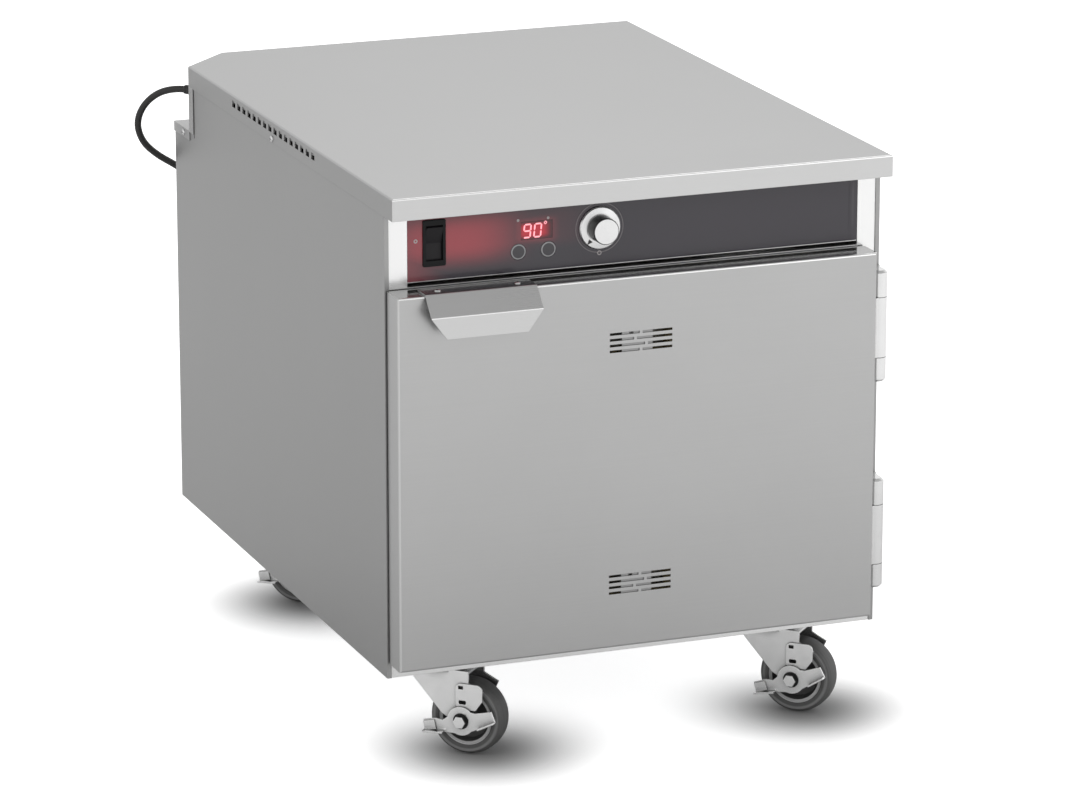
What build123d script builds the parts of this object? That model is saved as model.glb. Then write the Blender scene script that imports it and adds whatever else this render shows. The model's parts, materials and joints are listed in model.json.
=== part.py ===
from build123d import *
import math
import os

# Low heated holding cabinet on four braked swivel casters, in millimetres.
# X runs left to right seen from the front, Y from front to back, Z up from the floor.
# The origin is on the floor, under the middle of the box round the cabinet without its cord.

# Casing
BODY_W = 600.0
BODY_D = 769.0
BODY_H = 560.0
SHEET = 1.2
FRAME_SHEET = 1.5
TOP_LIP_H = 25.0
TOP_LIP_OUT = 32.0
TOP_BEND_R = 2.0
HEM_W = 5.2
NOTCH = 62.0
NOTCH_H = 80.5
COVER_FLANGE = 16.0
CORNER_SEAM = 2.4
CORNER_SCREWS = 70.0
SHELF_LIP = 12.0
SIDE_SLOTS = 16
SIDE_SLOT_PITCH = 19.4
SIDE_SLOT_W = 12.0
SIDE_SLOT_H = 8.0
SIDE_SLOT_DROP = 10.0
SIDE_SLOT_SHIFT = 3.0
SIDE_SLOT_START = 237.0

# Front frame and chamber
POST_W = 28.5
FRAME_D = 22.0
WALL = 50.0
BACK_WALL = 57.0
CONTROL_ZONE = 130.0
CHAMBER_RISE = 40.0
CHAMBER_W = BODY_W - 2 * WALL
CHAMBER_D = BODY_D - FRAME_D - BACK_WALL
CHAMBER_H = BODY_H - CHAMBER_RISE - CONTROL_ZONE
CHAMBER_R = 10.0
HEADER_TOP = CHAMBER_RISE + CHAMBER_H + 21.0
TOP_RAIL_H = 10.0
WOOL_SIDE = 40.0
WOOL_BOTTOM = 25.0
WOOL_TOP = 18.0
PAN_FLANGE = 20.0
CHANNEL_W = 110.0

# Control panel
PANEL_BOTTOM = HEADER_TOP + 4.5
PANEL_SHEET = 1.5
PANEL_FLANGE = 18.0
OVERLAY_T = 0.8
OVERLAY_SET = 0.2
OVERLAY_REVEAL = 1.2
CONTROL_Z = PANEL_BOTTOM + 43.5
SWITCH_X = 60.0
BEZEL_W = 27.0
BEZEL_H = 53.0
BEZEL_T = 2.0
ROCKER_W = 19.4
ROCKER_R = 21.5
ROCKER_PIVOT_IN = 9.0
ROCKER_TILT = 8.0
DISPLAY_X = 181.5
DISPLAY_Z = CONTROL_Z + 4.0
DISPLAY_W = 38.0
DISPLAY_H = 21.0
LENS_T = 4.0
BOARD_W = 96.0
BOARD_T = 1.6
BOARD_UP = 18.0
BOARD_DOWN = 14.0
BUTTON_XS = (159.5, 195.2)
BUTTON_Z = CONTROL_Z - 19.4
BUTTON_D = 18.0
BUTTON_OUT = 0.6
BUTTON_TRAVEL = 0.8
KNOB_X = 256.3
SKIRT_D = 49.0
SKIRT_T = 4.5
CAP_D = 31.0
CAP_OUT = 22.0
KNOB_SHAFT_D = 6.0
THERMOSTAT = 38.0

# Heating
PLENUM_W = CHAMBER_W - 100.0
PLENUM_D = 360.0
PLENUM_H = 60.0
INTAKE_D = 110.0
WHEEL_FAN_D = 130.0
WHEEL_FAN_H = 36.0
FAN_BLADES = 14
MOTOR_D = 90.0
MOTOR_H = 52.0
MOTOR_SHAFT_D = 8.0
ELEMENT_R = 92.0
ELEMENT_TUBE = 8.0
ELEMENT_GAP_DEG = 30.0
PROBE_L = 160.0
PROBE_D = 6.0
PROBE_FROM_BACK = 60.0
PROBE_DROP = 14.0
PROBE_CLIPS = 120.0
MOTOR_BORE = 32.0

# Tray racks
RACK_T = 26.0
RACK_SLIDES = 5
RACK_FIRST = 38.0
RACK_PITCH = 58.0
RACK_SHEET = 1.5
RACK_POST = 18.0
RACK_END = 25.0

# Door
DOOR_LEFT = 3.4
DOOR_RIGHT = 20.0
DOOR_W = BODY_W - DOOR_LEFT - DOOR_RIGHT
DOOR_BOTTOM = 17.5
DOOR_H = HEADER_TOP - 1.5 - DOOR_BOTTOM
DOOR_T = 35.0
DOOR_GAP = 3.0
DOOR_EDGE_R = 2.5
DOOR_FLANGE = 14.0
GASKET_W = 10.0
GASKET_INSET = 2.0
GASKET_CLEAR = 0.3
VENT_W = 75.3
VENT_RISE = 141.4
VENT_ROW_PITCH = 6.65
VENT_SLOT_H = 2.8
VENT_SLOT_GAP = 3.5
VENT_SPLITS = (0.50, 0.41, 0.585, 0.50)
BAFFLE_FROM = 0.20
BAFFLE_TO = 0.69
BAFFLE_HOLE_AT = 0.35

# Door pull
PULL_X = 101.0
PULL_W = 131.0
PULL_T = 1.8
PULL_FLANGE = 24.0
PULL_OUT = 22.0
PULL_DROP = 20.5
PULL_LIP = 25.0
PULL_CHAMFER = 18.5
PULL_SCREW_SPACING = 94.0

# Hinges
PIN_FROM_EDGE = 10.0
PIN_FORWARD = 22.0
PIN_D = 8.0
KNUCKLE_R = 9.3
HINGE_H = 131.0
KNUCKLE_TOP = 31.0
KNUCKLE_BOTTOM = 28.5
KNUCKLE_GAP = 0.6
HINGE_SPREAD = 246.4
HINGE_MID = DOOR_BOTTOM + DOOR_H / 2 + 3.5
LEAF_T = 2.5
DOOR_LEAF_W = 24.0

# Casters
CASTER_H = 118.0
CASTER_IN_X = 95.0
CASTER_IN_FRONT = 75.0
CASTER_IN_BACK = 92.0
SWIVEL_REST = -43.4
TRAIL = 34.0
WHEEL_D = 88.9
TREAD_W = 32.0
RIM_R = 31.5
HUB_W = 36.0
HUB_R = 11.0
AXLE_D = 8.0
LEG_IN = 21.5
LEG_T = 2.5
PLATE_T = 4.0
PLATE_W = 100.0
PLATE_D = 82.0
PLATE_BOLTS = (78.0, 60.0)
RACE_D = 60.0
RACE_H = 10.0
CROWN_T = 3.0
KINGPIN_D = 12.0
STRAP_T = 1.5
LEVER_T = 2.0
LEVER_BOSS_R = 9.2
LEVER_CLEAR = 0.4
LEVER_TILT = {"fl": 13.0, "fr": 19.0, "rl": 13.0, "rr": 13.0}

# Fasteners and clearances
SCREW_HEAD_D = 8.0
SCREW_HEAD_H = 2.4
SCREW_D = 3.6
SCREW_SLOT = 0.9
BOLT_AF = 13.0
BOLT_HEAD_H = 5.3
FIT = 0.3
PIN_FIT = 0.2

# Cord
CORD_D = 8.5
GLAND_L = 28.0
GLAND_DROP = 15.0
GLAND_RIBS = 5
PLUG_L = 44.0
TIE_T = 1.0
COIL_CENTRE = (60.0, 494.0)
COIL_INNER_R = 38.0
COIL_GAP = 0.8
COIL_HALF_TURNS = 4
COIL_LAYER_GAP = 0.7
CORD_JOINT = 0.2

# Places that follow from the sizes
PULL_REACH = DOOR_GAP + DOOR_T + PULL_OUT
Y_FACE = PULL_REACH - (BODY_D + PULL_REACH) / 2
Y_BACK = Y_FACE + BODY_D
X_SIDE = BODY_W / 2
Z_BASE = CASTER_H
Z_TOP = Z_BASE + BODY_H
X_PANEL = X_SIDE - 2 * SHEET
Z_SHELF = Z_TOP - NOTCH_H
GLAND_Z = Z_TOP - TOP_LIP_H - GLAND_DROP
CHAMBER_Z = Z_BASE + CHAMBER_RISE
CHAMBER_TOP = CHAMBER_Z + CHAMBER_H
CHAMBER_Y = Y_FACE + FRAME_D
CHAMBER_MID_Y = CHAMBER_Y + CHAMBER_D / 2
LINER_X = CHAMBER_W / 2 + SHEET
WOOL_Z = CHAMBER_Z - SHEET - WOOL_BOTTOM
WOOL_TOP_Z = CHAMBER_TOP + SHEET + WOOL_TOP
CONTROL_W = BODY_W - 2 * POST_W
CONTROL_TOP = Z_TOP - SHEET - TOP_RAIL_H
PANEL_Z = Z_BASE + PANEL_BOTTOM
OVERLAY_Y = Y_FACE + OVERLAY_SET
PANEL_Y = OVERLAY_Y + OVERLAY_T
DOOR_X0 = DOOR_LEFT - X_SIDE
DOOR_X1 = DOOR_X0 + DOOR_W
DOOR_Z0 = Z_BASE + DOOR_BOTTOM
DOOR_Z1 = DOOR_Z0 + DOOR_H
DOOR_BACK = Y_FACE - DOOR_GAP
DOOR_FRONT = DOOR_BACK - DOOR_T
VENT_MID_X = (DOOR_X0 + DOOR_X1) / 2
VENT_MID_Z = (DOOR_Z0 + DOOR_Z1) / 2
PIN_X = DOOR_X1 + PIN_FROM_EDGE
PIN_Y = Y_FACE - PIN_FORWARD
WHEEL_R = WHEEL_D / 2
FORK_TOP = Z_BASE - PLATE_T - RACE_H - 2 * FIT


def block(x0, x1, y0, y1, z0, z1):
    """A box from its low and high sides."""
    return Pos((x0 + x1) / 2, (y0 + y1) / 2, (z0 + z1) / 2) * Box(x1 - x0, y1 - y0, z1 - z0)


def disc(x, y, z0, z1, radius):
    """An upright cylinder between two heights."""
    return Pos(x, y, (z0 + z1) / 2) * Cylinder(radius, z1 - z0)


def rod_y(x, z, y0, y1, radius):
    """A cylinder along Y."""
    return Pos(x, (y0 + y1) / 2, z) * Rot(90, 0, 0) * Cylinder(radius, y1 - y0)


def rod_x(y, z, x0, x1, radius):
    """A cylinder along X."""
    return Pos((x0 + x1) / 2, y, z) * Rot(0, 90, 0) * Cylinder(radius, x1 - x0)


def front_slab(width, height, x, z, y0, y1, radius=0.0):
    """A plate that faces the front, centred on x and z, with rounded corners if asked."""
    shape = RectangleRounded(width, height, radius) if radius else Rectangle(width, height)
    return Pos(x, y0, z) * Rot(-90, 0, 0) * extrude(shape, y1 - y0)


def side_outline(points, x0, x1):
    """A solid whose outline is given as (y, z) points and that runs along X."""
    wire = Polyline(*[(x0, y, z) for y, z in points], close=True)
    return extrude(make_face(wire), x1 - x0, dir=(1, 0, 0))


def turned(profile):
    """A solid turned about Z from (radius, height) points."""
    wire = Polyline(*[(r, 0, z) for r, z in profile], close=True)
    return revolve(make_face(wire), Axis.Z)


def join(*solids):
    """One solid from touching or overlapping pieces."""
    first, *others = solids
    for other in others:
        first = first + other
    return first


def place(name, *solids):
    """Write one named sub-part."""
    shape = solids[0] if len(solids) == 1 else Compound(children=list(solids))
    export_step(shape, os.path.join("parts", name + ".step"))
    return shape


# Casing sheets

def plan_outline(inset, front):
    """The casing seen from above, with the back left corner cut off."""
    left = inset - X_SIDE
    right = X_SIDE - inset
    back = Y_BACK - inset
    slant = NOTCH - inset * (2 - math.sqrt(2))
    points = [(left, front), (right, front), (right, back), (left + slant, back), (left, back - slant)]
    return make_face(Polyline(*points, close=True))


def side_slots(x, drop):
    """A row of cooling slots, for one flange of the top cover or the sheet behind it."""
    row = []
    for number in range(SIDE_SLOTS):
        y = Y_FACE + SIDE_SLOT_START + number * SIDE_SLOT_PITCH
        z = Z_TOP - drop
        row.append(Pos(x, y, z) * Box(4 * SHEET, SIDE_SLOT_W, SIDE_SLOT_H))
    return row


def flange_screw_points():
    """Where the dome screws hold the side flanges of the top cover."""
    y = Y_FACE + BODY_D / 2
    z = Z_TOP - TOP_LIP_H + 4
    return [(-X_SIDE, y, z, -1), (X_SIDE, y, z, 1)]


def top_cover():
    front = Y_FACE - TOP_LIP_OUT
    outer = Pos(0, 0, Z_TOP - TOP_LIP_H) * extrude(plan_outline(0, front), TOP_LIP_H)
    outer = fillet(outer.faces().sort_by(Axis.Z)[-1].edges(), TOP_BEND_R)
    inner = Pos(0, 0, Z_TOP - TOP_LIP_H) * extrude(plan_outline(SHEET, front + SHEET), TOP_LIP_H - SHEET)
    inner = fillet(inner.faces().sort_by(Axis.Z)[-1].edges(), TOP_BEND_R - SHEET)
    cover = outer - inner
    for x in (-X_SIDE, X_SIDE):
        for slot in side_slots(x, SIDE_SLOT_DROP):
            cover -= slot
    for x, y, z, way in flange_screw_points():
        cover -= rod_x(y, z, x - 4, x + 4, SCREW_D / 2 + FIT)
    return cover


def side_panel(way):
    """A side sheet with its hem round the front post, on the left (-1) or the right (1)."""
    outer = X_SIDE - SHEET
    top = Z_TOP - SHEET
    back = Y_BACK - 2 * SHEET
    points = [(Y_FACE - SHEET, Z_BASE), (back, Z_BASE), (back, Z_SHELF - SHEET)]
    if way < 0:
        points += [(Y_BACK - NOTCH - SHEET, Z_SHELF - SHEET), (Y_BACK - NOTCH - SHEET, top - 1)]
    else:
        points += [(back, top - 1)]
    points += [(Y_FACE - SHEET, top - 1)]
    sheet = side_outline(points, outer - SHEET, outer)
    hem = block(outer - HEM_W, outer, Y_FACE - SHEET, Y_FACE, Z_BASE, Z_TOP - SHEET - 1)
    panel = sheet + hem
    for _, y, z, _ in flange_screw_points():
        panel -= rod_x(y, z, outer - 4, outer + 4, SCREW_D / 2 + FIT)
    for slot in side_slots(outer, SIDE_SLOT_DROP + SIDE_SLOT_SHIFT):
        panel -= slot
    if way < 0:
        for y, z in shelf_screw_points():
            panel -= rod_x(y, z, outer - 4, outer + 4, SCREW_D / 2 + FIT)
        seam = Y_BACK - NOTCH - COVER_FLANGE
        panel -= block(outer - 4, outer + 4, seam - CORNER_SEAM, seam, Z_SHELF - 6, Z_TOP - TOP_LIP_H - 2)
        return mirror(panel, about=Plane.YZ)
    return panel


def back_panel():
    """The back sheet, cut away beside the corner notch."""
    y1 = Y_BACK - SHEET
    y0 = y1 - SHEET
    sheet = block(-(X_SIDE - SHEET), X_SIDE - SHEET, y0, y1, Z_BASE, Z_TOP - SHEET - 1)
    return sheet - block(-X_SIDE, NOTCH + SHEET - X_SIDE, y0 - 1, y1 + 1, Z_SHELF - SHEET, Z_TOP)


def base_pan():
    """The bottom sheet with its upturned edges and two channels that take the casters."""
    x = X_PANEL
    y0 = Y_FACE + FRAME_D
    y1 = Y_BACK - 2 * SHEET
    pan = block(-x, x, y0, y1, Z_BASE, Z_BASE + PAN_FLANGE)
    pan -= block(-x + FRAME_SHEET, x - FRAME_SHEET, y0 - 1, y1 - FRAME_SHEET, Z_BASE + FRAME_SHEET, Z_TOP)
    for y in (Y_FACE + CASTER_IN_FRONT, Y_BACK - CASTER_IN_BACK):
        low = max(y - CHANNEL_W / 2, y0)
        outer = block(-x, x, low, y + CHANNEL_W / 2, Z_BASE, WOOL_Z)
        inner = block(-x, x, low + FRAME_SHEET, y + CHANNEL_W / 2 - FRAME_SHEET,
                      Z_BASE + FRAME_SHEET, WOOL_Z - FRAME_SHEET)
        pan += outer - inner
    for x, y in caster_points().values():
        for bolt_x, bolt_y in plate_bolt_points(x, y):
            pan -= disc(bolt_x, bolt_y, Z_BASE - 1, WOOL_Z - FRAME_SHEET - 1, AXLE_D / 2 + FIT)
    return pan


def front_frame():
    """Posts, sill and header folded from one sheet, open round the chamber and the control panel."""
    z0, z1 = Z_BASE, Z_TOP - SHEET
    header = Z_BASE + HEADER_TOP
    control_z = (header + CONTROL_TOP) / 2
    chamber_z = (CHAMBER_Z + CHAMBER_TOP) / 2
    wall = 2 * FRAME_SHEET
    frame = block(-X_PANEL, X_PANEL, Y_FACE, Y_FACE + FRAME_D, z0, z1)
    hollow = block(-X_PANEL + FRAME_SHEET, X_PANEL - FRAME_SHEET, Y_FACE + FRAME_SHEET, Y_FACE + FRAME_D + 1,
                   z0 + FRAME_SHEET, z1 - FRAME_SHEET)
    hollow -= front_slab(CHAMBER_W + wall, CHAMBER_H + wall, 0, chamber_z, Y_FACE, Y_FACE + FRAME_D + 2,
                         CHAMBER_R + FRAME_SHEET)
    control_h = CONTROL_TOP - header
    y0, y1 = Y_FACE, Y_FACE + FRAME_D + 2
    hollow -= front_slab(CONTROL_W + wall, control_h + wall, 0, control_z, y0, y1)
    frame -= hollow
    frame -= front_slab(CHAMBER_W, CHAMBER_H, 0, chamber_z, y0 - 1, y1, CHAMBER_R)
    return frame - front_slab(CONTROL_W, control_h, 0, control_z, y0 - 1, y1)


def liner_block(grow, y0, y1):
    """A block the size of the chamber, grown all round."""
    z = (CHAMBER_Z + CHAMBER_TOP) / 2
    return front_slab(CHAMBER_W + 2 * grow, CHAMBER_H + 2 * grow, 0, z, y0, y1, CHAMBER_R + grow)


def roof_holes(low, high):
    """Holes in the chamber roof for the fan shaft and the two ends of the heating tube."""
    holes = [disc(0, CHAMBER_MID_Y, low, high, MOTOR_SHAFT_D / 2 + 3)]
    for x, y in element_ends():
        holes.append(disc(x, y, low, high, ELEMENT_TUBE / 2 + 1))
    return holes


def chamber_liner():
    liner = liner_block(SHEET, CHAMBER_Y, CHAMBER_Y + CHAMBER_D + SHEET)
    liner -= liner_block(0, CHAMBER_Y - 1, CHAMBER_Y + CHAMBER_D)
    for hole in roof_holes(CHAMBER_TOP - 5, CHAMBER_TOP + 5):
        liner -= hole
    return liner


def insulation():
    """Mineral wool slabs round the chamber."""
    x = LINER_X + WOOL_SIDE
    y1 = CHAMBER_Y + CHAMBER_D + SHEET
    wool = block(-x, x, CHAMBER_Y, y1 + WOOL_SIDE, WOOL_Z, WOOL_TOP_Z)
    wool -= liner_block(SHEET, CHAMBER_Y - 1, y1)
    for hole in roof_holes(CHAMBER_TOP - 5, WOOL_TOP_Z + 5):
        wool -= hole
    return wool


# Notched back corner, where the cord comes out

def shelf_screw_points():
    """The dome screw that holds the lip of the corner shelf to the side."""
    return [(Y_BACK - 0.64 * NOTCH, Z_SHELF - SHELF_LIP / 2)]


def corner_screw_places():
    """The two screws at the top of the slanted plate, as places whose Z points outward."""
    plate = corner_frame(0, Z_TOP - TOP_LIP_H + SCREW_HEAD_D / 2 - 8)
    return [plate.location * Pos(way * CORNER_SCREWS / 2, 0, 0) for way in (-1, 1)]


def corner_axis():
    """The middle of the slanted plate and the direction that it faces."""
    face = math.sqrt(0.5)
    return (NOTCH / 2 - X_SIDE, Y_BACK - NOTCH / 2), (-face, face)


def corner_frame(out, z):
    """A plane on the slanted plate's normal, some way out from it, whose Z points outward."""
    (x, y), (nx, ny) = corner_axis()
    return Plane(origin=(x + nx * out, y + ny * out, z), x_dir=(ny, -nx, 0), z_dir=(nx, ny, 0))


def corner_cover():
    """A slanted plate, its two side flanges and the small shelf under it, folded from one sheet."""
    low, high = Z_SHELF, Z_TOP - TOP_LIP_H
    reach = NOTCH + COVER_FLANGE
    outer = plan_outline(0, Y_BACK - 3 * NOTCH) - plan_outline(SHEET, Y_BACK - 4 * NOTCH)
    band = Pos(0, 0, low - SHEET) * extrude(outer, high - low + SHEET)
    band &= block(-X_SIDE - 1, reach - X_SIDE, Y_BACK - reach, Y_BACK + 1, low - SHEET, high)
    corner = [(-X_SIDE, Y_BACK), (-X_SIDE, Y_BACK - NOTCH - SHEET), (NOTCH + SHEET - X_SIDE, Y_BACK)]
    shelf = Pos(0, 0, low - SHEET) * extrude(make_face(Polyline(*corner, close=True)), SHEET)
    lip = block(-X_SIDE, -X_SIDE + SHEET, Y_BACK - NOTCH, Y_BACK, low - SHELF_LIP, low)
    back_lip = block(-X_SIDE, NOTCH - X_SIDE, Y_BACK - SHEET, Y_BACK, low - SHELF_LIP, low)
    cover = join(band, shelf, lip, back_lip)
    for y, z in shelf_screw_points():
        cover -= rod_x(y, z, -X_SIDE - 1, 4 - X_SIDE, SCREW_D / 2 + FIT)
    for spot in corner_screw_places():
        cover -= spot * Cylinder(SCREW_D / 2 + FIT, 4 * SHEET)
    hole = Cylinder(CORD_D / 2 + 3, 8 * SHEET)
    return cover - corner_frame(0, GLAND_Z).location * hole


def cord_gland():
    """A tapered strain relief with a flange outside the slanted plate and a clip inside it."""
    end = CORD_D / 2 + 1.4
    neck = CORD_D / 2 + 3 - FIT
    flange = neck + 3
    profile = [(0, -8), (neck, -8), (neck, 0), (flange, 0), (flange, 2.5), (neck - 0.5, 4.5),
               (end, GLAND_L - 1), (end - 0.6, GLAND_L), (0, GLAND_L)]
    relief = turned(profile)
    for number in range(GLAND_RIBS):
        z = 7 + number * (GLAND_L - 11) / (GLAND_RIBS - 1)
        relief -= Pos(0, 0, z) * (Cylinder(flange, 1.6) - Cylinder(end - 0.2, 2))
    return corner_frame(0, GLAND_Z).location * relief


# Controls

def control_panel():
    """The sheet behind the overlay, with flanges turned back all round."""
    x = CONTROL_W / 2 - FIT
    z1 = CONTROL_TOP - FIT
    panel = block(-x, x, PANEL_Y, PANEL_Y + PANEL_FLANGE, PANEL_Z, z1)
    panel -= block(-x + PANEL_SHEET, x - PANEL_SHEET, PANEL_Y + PANEL_SHEET, PANEL_Y + PANEL_FLANGE + 1,
                   PANEL_Z + PANEL_SHEET, z1 - PANEL_SHEET)
    y1 = PANEL_Y + PANEL_SHEET + 1
    panel -= front_slab(BEZEL_W - 1, BEZEL_H - 5, SWITCH_X - X_SIDE, Z_BASE + CONTROL_Z, PANEL_Y - 1, y1)
    panel -= front_slab(DISPLAY_W + 2, DISPLAY_H + 2, DISPLAY_X - X_SIDE, Z_BASE + DISPLAY_Z, PANEL_Y - 1, y1)
    for x in BUTTON_XS:
        panel -= rod_y(x - X_SIDE, Z_BASE + BUTTON_Z, PANEL_Y - 1, y1, BUTTON_D / 2 + FIT)
    return panel - rod_y(KNOB_X - X_SIDE, Z_BASE + CONTROL_Z, PANEL_Y - 1, y1, KNOB_SHAFT_D)


def panel_overlay():
    """The dark glossy sheet on the control panel, cut out round what passes through it."""
    x = CONTROL_W / 2 - FIT
    y0, y1 = OVERLAY_Y, PANEL_Y
    sheet = block(-x, x, y0, y1, PANEL_Z + OVERLAY_REVEAL, CONTROL_TOP - FIT)
    sheet -= front_slab(BEZEL_W - 1, BEZEL_H - 5, SWITCH_X - X_SIDE, Z_BASE + CONTROL_Z, y0 - 1, y1 + 1)
    sheet -= front_slab(DISPLAY_W, DISPLAY_H, DISPLAY_X - X_SIDE, Z_BASE + DISPLAY_Z, y0 - 1, y1 + 1)
    for x in BUTTON_XS:
        sheet -= rod_y(x - X_SIDE, Z_BASE + BUTTON_Z, y0 - 1, y1 + 1, BUTTON_D / 2 + FIT)
    return sheet - rod_y(KNOB_X - X_SIDE, Z_BASE + CONTROL_Z, y0 - 1, y1 + 1, KNOB_SHAFT_D)


def switch_bezel():
    """The raised frame of the power switch with its housing behind the panel."""
    x, z = SWITCH_X - X_SIDE, Z_BASE + CONTROL_Z
    front = OVERLAY_Y - BEZEL_T
    depth = ROCKER_PIVOT_IN + ROCKER_R / 2
    rim = front_slab(BEZEL_W, BEZEL_H, x, z, front, OVERLAY_Y, 2.0)
    rim = fillet(rim.faces().sort_by(Axis.Y)[0].edges(), 0.8)
    inner_h = 2 * (ROCKER_R + 2 * FIT)
    housing = front_slab(BEZEL_W - 2, inner_h + 3, x, z, OVERLAY_Y, Y_FACE + depth)
    rocker_w = ROCKER_W + 2 * FIT
    housing -= front_slab(rocker_w, inner_h, x, z, OVERLAY_Y - 1, Y_FACE + depth - 2)
    return rim - front_slab(rocker_w, 2 * ROCKER_R - 3, x, z, front - 1, OVERLAY_Y + 1) + housing


def rocker():
    """The rocking key, resting with its lower end pressed in."""
    x, z = SWITCH_X - X_SIDE, Z_BASE + CONTROL_Z
    pivot_y = Y_FACE + ROCKER_PIVOT_IN
    reach = ROCKER_PIVOT_IN + 0.5
    half = math.sqrt(ROCKER_R ** 2 - reach ** 2)
    waist = reach - half * math.tan(math.radians(ROCKER_TILT))
    slanted = Polyline((0, -reach, half), (0, -waist, 0), (0, -reach, -half))
    side_a = ThreePointArc((0, -reach, -half), (0, -0.5 * reach, -math.sqrt(ROCKER_R ** 2 - reach ** 2 / 4)),
                           (0, 0, -ROCKER_R))
    rear = Polyline((0, 0, -ROCKER_R), (0, 4, -ROCKER_R / 2), (0, 4, ROCKER_R / 2), (0, 0, ROCKER_R))
    side_b = ThreePointArc((0, 0, ROCKER_R), (0, -0.5 * reach, math.sqrt(ROCKER_R ** 2 - reach ** 2 / 4)),
                           (0, -reach, half))
    face = make_face(Wire([*slanted.edges(), *side_a.edges(), *rear.edges(), *side_b.edges()]))
    key = Pos(-ROCKER_W / 2, 0, 0) * extrude(face, ROCKER_W, dir=(1, 0, 0))
    return Pos(x, pivot_y, z) * Rot(ROCKER_TILT, 0, 0) * key


def display_module():
    """The lens of the read-out, and the board behind it with the two key switches."""
    x, z = DISPLAY_X - X_SIDE, Z_BASE + DISPLAY_Z
    board_y = PANEL_Y + PANEL_SHEET + LENS_T
    lens = front_slab(DISPLAY_W - FIT, DISPLAY_H - FIT, x, z, OVERLAY_Y, board_y)
    board = block(x - BOARD_W / 2, x + BOARD_W / 2, board_y, board_y + BOARD_T,
                  Z_BASE + BUTTON_Z - BOARD_DOWN, z + BOARD_UP)
    for button_x in BUTTON_XS:
        stem = button_stem_end()
        key_x, key_z = button_x - X_SIDE, Z_BASE + BUTTON_Z
        board += block(key_x - 3, key_x + 3, stem + BUTTON_TRAVEL + 0.1, board_y, key_z - 3, key_z + 3)
    for post_x in (x - BOARD_W / 2 + 4, x + BOARD_W / 2 - 4):
        board += rod_y(post_x, z + BOARD_UP - 5, PANEL_Y + PANEL_SHEET, board_y, 3)
    return lens, board


def button_stem_end():
    """How far back the stem of a push button reaches."""
    return PANEL_Y + PANEL_SHEET + 2


def push_button(x):
    """A round key with a shallow domed face and a stem."""
    stem = button_stem_end() - OVERLAY_Y + BUTTON_OUT
    profile = [(0, 0), (BUTTON_D / 2 - 0.8, 0.1), (BUTTON_D / 2, 0.6), (BUTTON_D / 2, 2.8), (3, 2.8),
               (3, stem), (0, stem)]
    return Pos(x - X_SIDE, OVERLAY_Y - BUTTON_OUT, Z_BASE + BUTTON_Z) * Rot(-90, 0, 0) * turned(profile)


def knob_frame():
    """A place on the overlay at the knob's axis, with Z pointing out of the front."""
    return Pos(KNOB_X - X_SIDE, OVERLAY_Y, Z_BASE + CONTROL_Z) * Rot(90, 0, 0)


def knob_skirt():
    """A dished metal skirt and the shaft that it turns."""
    rim, cap = SKIRT_D / 2, CAP_D / 2
    shaft = KNOB_SHAFT_D / 2
    profile = [(0, -16), (shaft, -16), (shaft, FIT), (rim - 0.6, FIT), (rim, 1.0), (rim, SKIRT_T - 2.4),
               (rim - 1.2, SKIRT_T - 1), (cap + 1.5, SKIRT_T), (0, SKIRT_T)]
    return knob_frame() * turned(profile)


def knob_cap():
    """The dark grip that stands on the skirt, and the spun metal disc set into its face."""
    radius = CAP_D / 2
    grip = [(0, SKIRT_T), (radius, SKIRT_T), (radius - 0.4, CAP_OUT - 1), (radius - 1.2, CAP_OUT),
            (radius - 1.6, CAP_OUT), (radius - 1.6, CAP_OUT - 1), (0, CAP_OUT - 1)]
    face = [(0, CAP_OUT - 1), (radius - 1.6, CAP_OUT - 1), (radius - 1.6, CAP_OUT), (0, CAP_OUT + 0.6)]
    return knob_frame() * turned(grip), knob_frame() * turned(face)


def thermostat():
    """The body behind the knob, with the bush that the shaft turns in."""
    x, z = KNOB_X - X_SIDE, Z_BASE + CONTROL_Z
    y0 = PANEL_Y + PANEL_SHEET
    body = block(x - THERMOSTAT / 2, x + THERMOSTAT / 2, y0, y0 + 24, z - THERMOSTAT / 2, z + THERMOSTAT / 2)
    bush = rod_y(x, z, PANEL_Y, y0, KNOB_SHAFT_D - FIT)
    return join(body, bush) - rod_y(x, z, PANEL_Y - 1, OVERLAY_Y + 16.5, KNOB_SHAFT_D / 2 + PIN_FIT)


# Heating

def element_ends():
    """Where the two ends of the heating tube go up through the chamber roof."""
    half = math.radians(ELEMENT_GAP_DEG / 2)
    return [(ELEMENT_R * math.sin(way * half), CHAMBER_MID_Y + ELEMENT_R * math.cos(half)) for way in (-1, 1)]


def heating_element():
    """An almost closed ring of tube round the fan wheel, with two legs up through the roof."""
    z = CHAMBER_TOP - PLENUM_H / 2
    (x0, y0), (x1, y1) = element_ends()
    ring = ThreePointArc((x0, y0, z), (0, CHAMBER_MID_Y - ELEMENT_R, z), (x1, y1, z))
    start = Plane(origin=(x0, y0, z), z_dir=ring % 0)
    tube = sweep(start * Circle(ELEMENT_TUBE / 2), path=ring)
    for x, y in element_ends():
        knee = Pos(x, y, z) * Sphere(ELEMENT_TUBE / 2)
        tube = join(tube, knee, disc(x, y, z, WOOL_TOP_Z + 12, ELEMENT_TUBE / 2))
    return tube


def plenum_sides():
    """The plan of the fan tray: its half width, its front and back, and its floor's height."""
    return PLENUM_W / 2, CHAMBER_MID_Y - PLENUM_D / 2, CHAMBER_MID_Y + PLENUM_D / 2, CHAMBER_TOP - PLENUM_H


def air_plenum():
    """The floor of the fan tray, with the round opening that the fan draws through."""
    x, y0, y1, low = plenum_sides()
    return block(-x, x, y0, y1, low, low + SHEET) - disc(0, CHAMBER_MID_Y, low - 1, low + 2, INTAKE_D / 2)


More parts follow.
